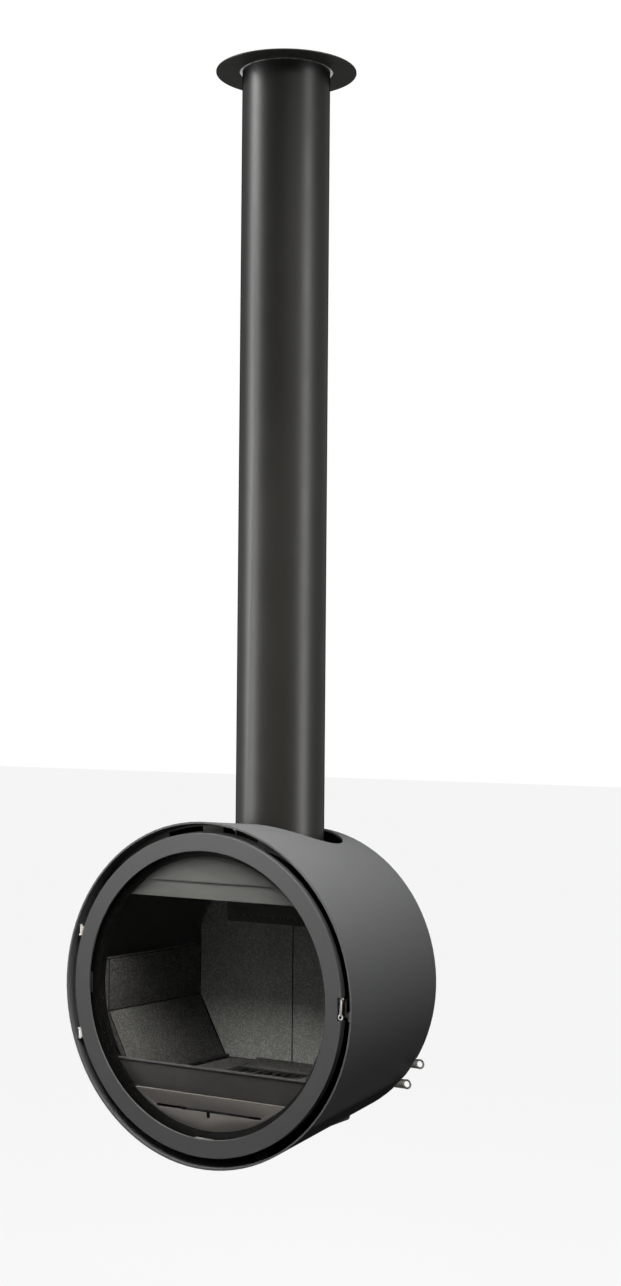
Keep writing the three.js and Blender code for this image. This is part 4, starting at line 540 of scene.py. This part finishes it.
# %% [markdown]
# Smooth shading alone still shows the facets of a cone as faint stripes. On a turned piece
# the exact direction of each surface is known, so it is written into the mesh as custom
# normals, and the piece shades like a true cone. Faces that don't belong to the turned
# surface, such as the sides of a slot, keep their own direction.

# %% Custom normals
LARGEST_TWIST = 0.06  # of a face round the axis, before it counts as a slot's side
LEAST_SPOKE = 0.02  # of a face's direction away from the axis


def turned_normals(mesh, axis):
    centre, along = axis
    normals = []
    for face in mesh.polygons:
        middle = face.center - centre
        spoke = (middle - along * middle.dot(along)).normalized()
        outward = face.normal.dot(spoke)
        forward = face.normal.dot(along)
        twist = abs(face.normal.dot(along.cross(spoke)))
        turned = twist < LARGEST_TWIST and abs(outward) > LEAST_SPOKE
        for index in face.loop_indices:
            normal = face.normal
            if turned:
                corner = mesh.vertices[mesh.loops[index].vertex_index].co - centre
                spoke_here = (corner - along * corner.dot(along)).normalized()
                normal = (spoke_here * outward + along * forward).normalized()
            normals.append(tuple(normal))
    mesh.normals_split_custom_set(normals)


print("turned pieces get custom normals")


# %% Finish a mesh
def finish_mesh(name, mesh, materials, axis):
    data = bpy.data.meshes.new(name)
    mesh.to_mesh(data)
    mesh.free()
    for material in materials:
        data.materials.append(material)
    for face in data.polygons:
        face.use_smooth = True
    if axis:
        turned_normals(data, axis)
    else:
        data.set_sharp_from_angle(angle=SHARP)
    piece = bpy.data.objects.new(name, data)
    scene.collection.objects.link(piece)
    return piece


print("other pieces keep edges over", round(math.degrees(SHARP)), "degrees sharp")


def dress(node, material, bevel, axis=None, seam_shade=None):
    mesh = merged_copy(node)
    round_edges(mesh, bevel * MM, 1 if seam_shade else -1)
    materials = [material, seam_shade] if seam_shade else [material]
    piece = finish_mesh(node + "_finished", mesh, materials, axis)
    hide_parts(node)
    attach(piece, body_of_node[node])
    return piece


# %% [markdown]
# ## Drum, door and flue
#
# These are the large painted pieces. They could be turned afresh from a profile, but their
# openings were cut in the solids, and would all have to be cut again. The sheet is 3 to 4 mm
# thick, so a bevel of less than a millimetre draws the thin bright line round the front.

# %% Drum, door and flue
dress("casing_shell", DRUM_PAINT, 0.9, DRUM_AXIS)
dress("front_grille", LIT_GRILLE_PAINT, 0.4)
dress("door_ring", DOOR_PAINT, 0.7, DRUM_AXIS)
dress("flue_pipe", SHADED_FLUE_PAINT, 0.5, FLUE_AXIS)
dress("ceiling_rosette", ROSETTE_PAINT, 0.8, FLUE_AXIS)
dress("flue_collar", CAST_IRON, 0.6, FLUE_AXIS)
dress("ceiling_sleeve", GALVANISED, 0.3, FLUE_AXIS)
print("drum, door and flue dressed")

# %% [markdown]
# ## Firebox
#
# The inner drum and its fittings are seen through the glass. Soot and painted shade blacken
# the drum, while the hood above and the apron below stay lighter. One burnt finish on all of
# them would hide where one sheet ends and the next starts, so the finish changes from piece to
# piece.

# %% Firebox
for steel_piece in ("firebox_shell", "firebox_back", "mouth_flange"):
    dress(steel_piece, SOOT_AND_SHADE_STEEL, 0.5, DRUM_AXIS)
for sheet_piece in ("deflector_hood", "deflector_strip"):
    dress(sheet_piece, HOOD_STEEL, 0.4)
dress("secondary_air_channel", CHANNEL_STEEL, 0.4)
for sheet_piece in ("lower_apron", "floor_plate", "ash_pan_shelf"):
    dress(sheet_piece, APRON_STEEL, 0.4)
dress("log_fence", FENCE_IRON, 0.8)
dress("grate", CAST_IRON, 1.5)
for rail in ("ember_rail_left", "ember_rail_right"):
    dress(rail, CAST_IRON, 1.2)
dress("ash_pan", DULL_ZINC, 0.5)
print("firebox dressed")

# %% [markdown]
# ## Lining
#
# The panels are soft and lose their arrises with handling, so they get a wide bevel. The
# seams are already modelled as gaps between the panels, and their bevels take the near-black
# soot-and-shade finish, so each seam is drawn as a dark line of painted shade.

# %% Lining
LINING_BEVEL = 1.4
LININGS = {
    "back_panel": BACK_LINING,
    "side_panel_upper": SOOT_AND_SHADE_LINING,
    "side_panel_lower": SHADED_SIDE_LINING,
    "baffle_panel": SOOT_AND_SHADE_LINING,
    "floor_brick": FLOOR_LINING,
}
for start, finish in LININGS.items():
    for node in [name for name in nodes if name.startswith(start)]:
        dress(node, finish, LINING_BEVEL, seam_shade=SOOT_AND_SHADE_STEEL)
print("lining finishes:", len(LININGS))

# %% [markdown]
# ## Door fittings
#
# Hinges, pins, clips and latch are small bare steel pieces with edges broken by a file. They
# could be listed one by one, but each family's names start alike, so one loop finds them.
# The glass and its tape are round, so they shade as turned pieces.

# %% Door fittings
steel_nodes = [
    node for node in nodes
    if node.startswith(("door_hinge", "hinge_", "latch_", "glass_clip"))
]
for node in steel_nodes:
    dress(node, LATCH_STEEL, 0.25)
dress("door_glass", GLASS, 0.5, DRUM_AXIS)
dress("glass_tape", TAPE, 0.8, DRUM_AXIS)
print("door fittings:", len(steel_nodes))

# %% [markdown]
# ## Air controls and the back
#
# Two bare steel slides stick out of a black chest at the lower right, where a hand finds
# them. The back is plain: a vented cover, a bar and the wall bracket. All of it is flat sheet,
# so the solids need no more than a bevel and a paint.

# %% Air controls and the back
for slide in ("primary_air_slide", "secondary_air_slide"):
    dress(slide, TAB_STEEL, 0.4)
dress("air_chest", REAR_PAINT, 0.5)
dress("rear_cover", REAR_PAINT, 0.3)
dress("hang_bar", REAR_PAINT, 0.8)
dress("wall_bracket", REAR_PAINT, 0.8)
for number in range(1, 5):
    dress(f"wall_anchor_{number}", GALVANISED, 0.5)
print("rear pieces dressed")

# %% [markdown]
# ## Screws
#
# Six screws hold the rear cover, and each of the four glass clips has two smaller ones. They
# could be copied by hand, but they are all alike, so one Geometry Nodes tree places a screw
# head at every point of a small mesh. The head is a low cone with a hexagon sunk from above.
# The tree has its sizes as named inputs, and it ends in real geometry with a material.


# %% Start a tree
def start_tree(name, sizes, counts=()):
    tree = bpy.data.node_groups.new(name, "GeometryNodeTree")
    face = tree.interface
    face.new_socket("Geometry", in_out="INPUT", socket_type="NodeSocketGeometry")
    for key, value in sizes:
        face.new_socket(key, in_out="INPUT", socket_type="NodeSocketFloat").default_value = value
    for key, value in counts:
        face.new_socket(key, in_out="INPUT", socket_type="NodeSocketInt").default_value = value
    face.new_socket("Material", in_out="INPUT", socket_type="NodeSocketMaterial")
    face.new_socket("Geometry", in_out="OUTPUT", socket_type="NodeSocketGeometry")
    return tree, tree.nodes.new("NodeGroupInput"), tree.nodes.new("NodeGroupOutput")


print("a tree takes points and a material, and gives geometry")

# %% Screw head
HEAD_CORNERS = 24
SOCKET_CORNERS = 6
SCREW_SIZES = (
    ("Head Radius", 5.5 * MM),
    ("Head Height", 2.4 * MM),
    ("Head Taper", 0.72),
    ("Socket Radius", 2.4 * MM),
    ("Socket Lift", 1.5 * MM),
)


def screw_head(tree, given):
    link = tree.links.new
    head = tree.nodes.new("GeometryNodeMeshCone")
    head.inputs["Vertices"].default_value = HEAD_CORNERS
    taper = tree.nodes.new("ShaderNodeMath")
    taper.operation = "MULTIPLY"
    link(given.outputs["Head Radius"], taper.inputs[0])
    link(given.outputs["Head Taper"], taper.inputs[1])
    link(given.outputs["Head Radius"], head.inputs["Radius Bottom"])
    link(taper.outputs[0], head.inputs["Radius Top"])
    link(given.outputs["Head Height"], head.inputs["Depth"])
    hexagon = tree.nodes.new("GeometryNodeMeshCylinder")
    hexagon.inputs["Vertices"].default_value = SOCKET_CORNERS
    link(given.outputs["Socket Radius"], hexagon.inputs["Radius"])
    link(given.outputs["Head Height"], hexagon.inputs["Depth"])
    upwards = tree.nodes.new("ShaderNodeCombineXYZ")
    link(given.outputs["Socket Lift"], upwards.inputs["Z"])
    lift = tree.nodes.new("GeometryNodeTransform")
    link(hexagon.outputs["Mesh"], lift.inputs["Geometry"])
    link(upwards.outputs["Vector"], lift.inputs["Translation"])
    drilled = tree.nodes.new("GeometryNodeMeshBoolean")
    drilled.operation = "DIFFERENCE"
    link(head.outputs["Mesh"], drilled.inputs["Mesh 1"])
    link(lift.outputs["Geometry"], drilled.inputs["Mesh 2"])
    return drilled.outputs["Mesh"]


print("screw sizes:", len(SCREW_SIZES))


# %% Place heads on points
def screw_tree():
    tree, given, result = start_tree("screw_heads", SCREW_SIZES)
    link = tree.links.new
    facing = tree.nodes.new("GeometryNodeInputNamedAttribute")
    facing.data_type = "FLOAT_VECTOR"
    facing.inputs["Name"].default_value = "facing"
    turn = tree.nodes.new("FunctionNodeAlignRotationToVector")
    turn.axis = "Z"
    link(facing.outputs["Attribute"], turn.inputs["Vector"])
    place = tree.nodes.new("GeometryNodeInstanceOnPoints")
    link(given.outputs["Geometry"], place.inputs["Points"])
    link(screw_head(tree, given), place.inputs["Instance"])
    link(turn.outputs["Rotation"], place.inputs["Rotation"])
    real = tree.nodes.new("GeometryNodeRealizeInstances")
    coat = tree.nodes.new("GeometryNodeSetMaterial")
    link(place.outputs["Instances"], real.inputs["Geometry"])
    link(real.outputs["Geometry"], coat.inputs["Geometry"])
    link(given.outputs["Material"], coat.inputs["Material"])
    link(coat.outputs["Geometry"], result.inputs["Geometry"])
    return tree


SCREWS = screw_tree()
print("tree", SCREWS.name, "has", len(SCREWS.nodes), "nodes")

# %% [markdown]
# A tree needs an object to run on. A loose mesh of points carries it, with the direction that
# each screw faces as an attribute. A modifier's inputs are set by each socket's identifier.
# The evaluated result is taken as a plain mesh, so the piece that is kept has no modifier.


# %% Run a tree
def run_tree(name, tree, points, facing, values, body):
    data = bpy.data.meshes.new(name + "_points")
    data.from_pydata([tuple(point) for point in points], [], [])
    directions = data.attributes.new("facing", "FLOAT_VECTOR", "POINT")
    directions.data.foreach_set("vector", [value for _ in points for value in facing])
    carrier = bpy.data.objects.new(name + "_points", data)
    scene.collection.objects.link(carrier)
    modifier = carrier.modifiers.new("tree", "NODES")
    modifier.node_group = tree
    inputs = [item for item in tree.interface.items_tree if item.in_out == "INPUT"]
    identifiers = {item.name: item.identifier for item in inputs}
    for key, value in values.items():
        modifier[identifiers[key]] = value
    graph = bpy.context.evaluated_depsgraph_get()
    mesh = bpy.data.meshes.new_from_object(carrier.evaluated_get(graph))
    bpy.data.objects.remove(carrier)
    mesh.name = name
    for face in mesh.polygons:
        face.use_smooth = True
    mesh.set_sharp_from_angle(angle=SHARP)
    piece = bpy.data.objects.new(name, mesh)
    scene.collection.objects.link(piece)
    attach(piece, body)
    print(name, "has", len(mesh.polygons), "faces")
    return piece


print("a tree's result is kept as a plain mesh")

# %% [markdown]
# The cover's screws stand on one circle, at angles that leave its foot free for the air
# chest. The clips' screws stand in pairs on a smaller circle, a pair at each quarter turn.
# So a radius, an angle and a step aside give every place.

# %% Place the screws
COVER_FACE = FRONT + 430.9 * MM
COVER_SCREW_RADIUS = 316 * MM
COVER_SCREW_ANGLES = (20, 55, 125, 160, 200, 340)
CLIP_FACE = FRONT + 15.6 * MM
CLIP_SCREW_RADIUS = 314 * MM
CLIP_SCREW_ASIDE = 14 * MM
TO_THE_WALL = (0, 1, 0)


def on_circle(radius, degrees, face, aside=0.0):
    cosine, sine = math.cos(math.radians(degrees)), math.sin(math.radians(degrees))
    return radius * cosine - aside * sine, face, radius * sine + aside * cosine


cover_places = [
    on_circle(COVER_SCREW_RADIUS, angle, COVER_FACE) for angle in COVER_SCREW_ANGLES
]
cover_values = {"Material": GALVANISED}
run_tree("cover_screws", SCREWS, cover_places, TO_THE_WALL, cover_values, "stove")

clip_places = [
    on_circle(CLIP_SCREW_RADIUS, 90 * quarter, CLIP_FACE, aside)
    for quarter in range(4)
    for aside in (-CLIP_SCREW_ASIDE, CLIP_SCREW_ASIDE)
]
clip_values = {
    "Head Radius": 3.2 * MM,
    "Head Height": 1.8 * MM,
    "Socket Radius": 1.4 * MM,
    "Material": LATCH_STEEL,
}
run_tree("glass_clip_screws", SCREWS, clip_places, TO_THE_WALL, clip_values, "door")

# %% [markdown]
# ## Rope seal
#
# The door closes on a braided rope. Its strands slant across it one after the other. A tube
# with a bump would lose them at its edge, so the strands are real, and the same short strand
# is repeated round a circle. Geometry Nodes place a slanted, flattened ball at every step of
# a curve circle. The strands overlap, as plaited ones do.

# %% Strand
STRAND_SEGMENTS = 10
STRAND_RINGS = 8
ROPE_SIZES = (("Ring Radius", 0.33), ("Rope Radius", 4 * MM), ("Slant", 0.6), ("Flatness", 0.62))
ROPE_COUNTS = (("Strands", 300),)


def strand(tree, given):
    link = tree.links.new
    ball = tree.nodes.new("GeometryNodeMeshUVSphere")
    ball.inputs["Segments"].default_value = STRAND_SEGMENTS
    ball.inputs["Rings"].default_value = STRAND_RINGS
    link(given.outputs["Rope Radius"], ball.inputs["Radius"])
    squeeze = tree.nodes.new("ShaderNodeCombineXYZ")
    squeeze.inputs["X"].default_value = 1.0
    squeeze.inputs["Y"].default_value = 1.0
    link(given.outputs["Flatness"], squeeze.inputs["Z"])
    flatten = tree.nodes.new("GeometryNodeTransform")
    link(ball.outputs["Mesh"], flatten.inputs["Geometry"])
    link(squeeze.outputs["Vector"], flatten.inputs["Scale"])
    return flatten.outputs["Geometry"]


print("a strand has", STRAND_SEGMENTS, "segments and", STRAND_RINGS, "rings")


# %% Slant of a strand
def strand_turn(tree, given, tangent):
    link = tree.links.new
    slant = tree.nodes.new("ShaderNodeCombineXYZ")
    link(given.outputs["Slant"], slant.inputs["X"])
    euler = tree.nodes.new("FunctionNodeEulerToRotation")
    link(slant.outputs["Vector"], euler.inputs["Euler"])
    align = tree.nodes.new("FunctionNodeAlignRotationToVector")
    align.axis = "Z"
    link(tangent, align.inputs["Vector"])
    turned = tree.nodes.new("FunctionNodeRotateRotation")
    turned.rotation_space = "LOCAL"
    link(align.outputs["Rotation"], turned.inputs["Rotation"])
    link(euler.outputs["Rotation"], turned.inputs["Rotate By"])
    return turned.outputs["Rotation"]


print("a strand follows the circle and leans across it")


# %% Rope tree
def rope_tree():
    tree, given, result = start_tree("braided_rope", ROPE_SIZES, ROPE_COUNTS)
    link = tree.links.new
    circle = tree.nodes.new("GeometryNodeCurvePrimitiveCircle")
    link(given.outputs["Strands"], circle.inputs["Resolution"])
    link(given.outputs["Ring Radius"], circle.inputs["Radius"])
    points = tree.nodes.new("GeometryNodeCurveToPoints")
    points.mode = "EVALUATED"
    link(circle.outputs["Curve"], points.inputs["Curve"])
    place = tree.nodes.new("GeometryNodeInstanceOnPoints")
    link(points.outputs["Points"], place.inputs["Points"])
    link(strand(tree, given), place.inputs["Instance"])
    link(strand_turn(tree, given, points.outputs["Tangent"]), place.inputs["Rotation"])
    real = tree.nodes.new("GeometryNodeRealizeInstances")
    upright = tree.nodes.new("GeometryNodeTransform")
    upright.inputs["Rotation"].default_value = (math.pi / 2, 0, 0)
    coat = tree.nodes.new("GeometryNodeSetMaterial")
    link(place.outputs["Instances"], real.inputs["Geometry"])
    link(real.outputs["Geometry"], upright.inputs["Geometry"])
    link(upright.outputs["Geometry"], coat.inputs["Geometry"])
    link(given.outputs["Material"], coat.inputs["Material"])
    link(coat.outputs["Geometry"], result.inputs["Geometry"])
    return tree


ROPE_TREE = rope_tree()
print("tree", ROPE_TREE.name, "has", len(ROPE_TREE.nodes), "nodes")

# %% [markdown]
# The rope lies in the channel inside the door's skirt. The tree makes its ring round the
# origin. A finished object stays at the origin, so its mesh is moved along the drum's axis
# instead. It stands for the frame's plain seal.

# %% Rope on the door
ROPE_DEPTH = 18.2 * MM
rope_values = {
    "Ring Radius": 329.5 * MM,
    "Rope Radius": 5.2 * MM,
    "Slant": 0.7,
    "Strands": 420,
    "Material": ROPE,
}
braid = run_tree("rope_braid", ROPE_TREE, [(0, 0, 0)], TO_THE_WALL, rope_values, "door")
braid.data.transform(Matrix.Translation((0, FRONT + ROPE_DEPTH, 0)))
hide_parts("rope_seal")
print("rope lies at y", round(FRONT + ROPE_DEPTH, 4))

# %% [markdown]
# ## Studio
#
# The stove stands in a plain white studio. A bright world would give the white background,
# but it would also wash out the dark paint. So the world and the floor are white to the
# camera, to reflections and to light that passes the glass, and give off only a little light
# of their own.


# %% White to the camera
def seen_directly(tree):
    path = tree.nodes.new("ShaderNodeLightPath")
    total = path.outputs["Is Camera Ray"]
    for ray in ("Is Glossy Ray", "Is Transmission Ray"):
        either = tree.nodes.new("ShaderNodeMath")
        either.operation = "MAXIMUM"
        tree.links.new(total, either.inputs[0])
        tree.links.new(path.outputs[ray], either.inputs[1])
        total = either.outputs[0]
    return total


WORLD_LIGHT = 0.12


def studio_world():
    world = bpy.data.worlds.new("studio")
    world.use_nodes = True
    scene.world = world
    tree = world.node_tree
    background = tree.nodes["Background"]
    background.inputs["Color"].default_value = (1, 1, 1, 1)
    strength = ranged(tree, seen_directly(tree), WORLD_LIGHT, 1.0)
    tree.links.new(strength, background.inputs["Strength"])


studio_world()
print("world:", scene.world.name, "with light", WORLD_LIGHT)

# %% [markdown]
# The floor needs a shadow, which a glowing sheet doesn't show. So it is a mix: most of what
# the camera sees of it glows white, and the rest is a plain diffuse surface that takes the
# shadow. To all other light it is dark, so that it throws little light up.

# %% Floor material
FLOOR_ROUGHNESS = 0.9
FLOOR_TONE = 0.12
FLOOR_TONE_SEEN = 0.85
GLOW_SHARE_SEEN = 0.90


def floor_material():
    material = bpy.data.materials.new("pale_floor")
    material.use_nodes = True
    tree = material.node_tree
    shader = tree.nodes["Principled BSDF"]
    shader.inputs["Roughness"].default_value = FLOOR_ROUGHNESS
    shader.inputs["Specular IOR Level"].default_value = 0.0
    seen = seen_directly(tree)
    tree.links.new(ranged(tree, seen, FLOOR_TONE, FLOOR_TONE_SEEN), shader.inputs["Base Color"])
    white = tree.nodes.new("ShaderNodeEmission")
    blend = tree.nodes.new("ShaderNodeMixShader")
    tree.links.new(ranged(tree, seen, 0.0, GLOW_SHARE_SEEN), blend.inputs["Fac"])
    tree.links.new(shader.outputs["BSDF"], blend.inputs[1])
    tree.links.new(white.outputs["Emission"], blend.inputs[2])
    tree.links.new(blend.outputs["Shader"], tree.nodes["Material Output"].inputs["Surface"])
    return material


print("share of glow that the camera sees:", GLOW_SHARE_SEEN)

# %% Pale floor
FLOOR_Z = -1.05
FLOOR_REACH = 30


def pale_floor():
    signs = ((-1, -1), (1, -1), (1, 1), (-1, 1))
    corners = [(x * FLOOR_REACH, y * FLOOR_REACH, FLOOR_Z) for x, y in signs]
    data = bpy.data.meshes.new("floor")
    data.from_pydata(corners, [], [(0, 1, 2, 3)])
    data.materials.append(floor_material())
    floor = bpy.data.objects.new("floor", data)
    scene.collection.objects.link(floor)


pale_floor()
print("floor at z", FLOOR_Z)

# %% [markdown]
# ## Lamps
#
# A large soft lamp overhead lights the drum from above, so its side turns dark towards the
# bottom. A near one in front fades down the door, and a weak one fills from the left. The
# flue's two soft bands could come from the same lamps, but then the drum would be too light.
# So two tall narrow lamps are seen only in reflections. Each band lies where the pipe's
# surface faces halfway between its lamp and the camera.


# %% A soft lamp
def soft_lamp(name, place, target, size, power, spread=180, lights=True, reflected=True):
    data = bpy.data.lights.new(name, "AREA")
    data.shape = "RECTANGLE"
    data.size, data.size_y = size
    data.energy = power
    data.spread = math.radians(spread)
    lamp = bpy.data.objects.new(name, data)
    lamp.location = place
    lamp.rotation_euler = (Vector(target) - Vector(place)).to_track_quat("-Z", "Y").to_euler()
    lamp.visible_diffuse = lights
    lamp.visible_glossy = reflected
    scene.collection.objects.link(lamp)


print("a lamp can light, be reflected, or both")

# %% Five lamps
soft_lamp(
    "overhead", place=(1.2, -1.0, 2.2), target=(0.1, -0.3, 0), size=(1.2, 1.2),
    power=21, spread=90,
)
soft_lamp(
    "front_fill", place=(0.0, -1.15, 1.25), target=(0, -0.5, 0.1), size=(0.9, 0.9),
    power=11.5, spread=100, reflected=False,
)
soft_lamp(
    "left_fill", place=(-2.9, -2.3, 0.9), target=(0, -0.2, 0.9), size=(0.7, 3.6),
    power=4, reflected=False,
)
soft_lamp(
    "left_band", place=(-2.9, -2.3, 1.2), target=(0, -0.2, 1.2), size=(0.8, 6.6),
    power=1350, lights=False,
)
soft_lamp(
    "right_band", place=(3.4, -0.1, 0.9), target=(0, -0.2, 0.9), size=(0.9, 4.6),
    power=480, lights=False,
)
scene.view_settings.view_transform = "Standard"
lamps = [thing.name for thing in scene.objects if thing.type == "LIGHT"]
print("lamps:", *lamps)
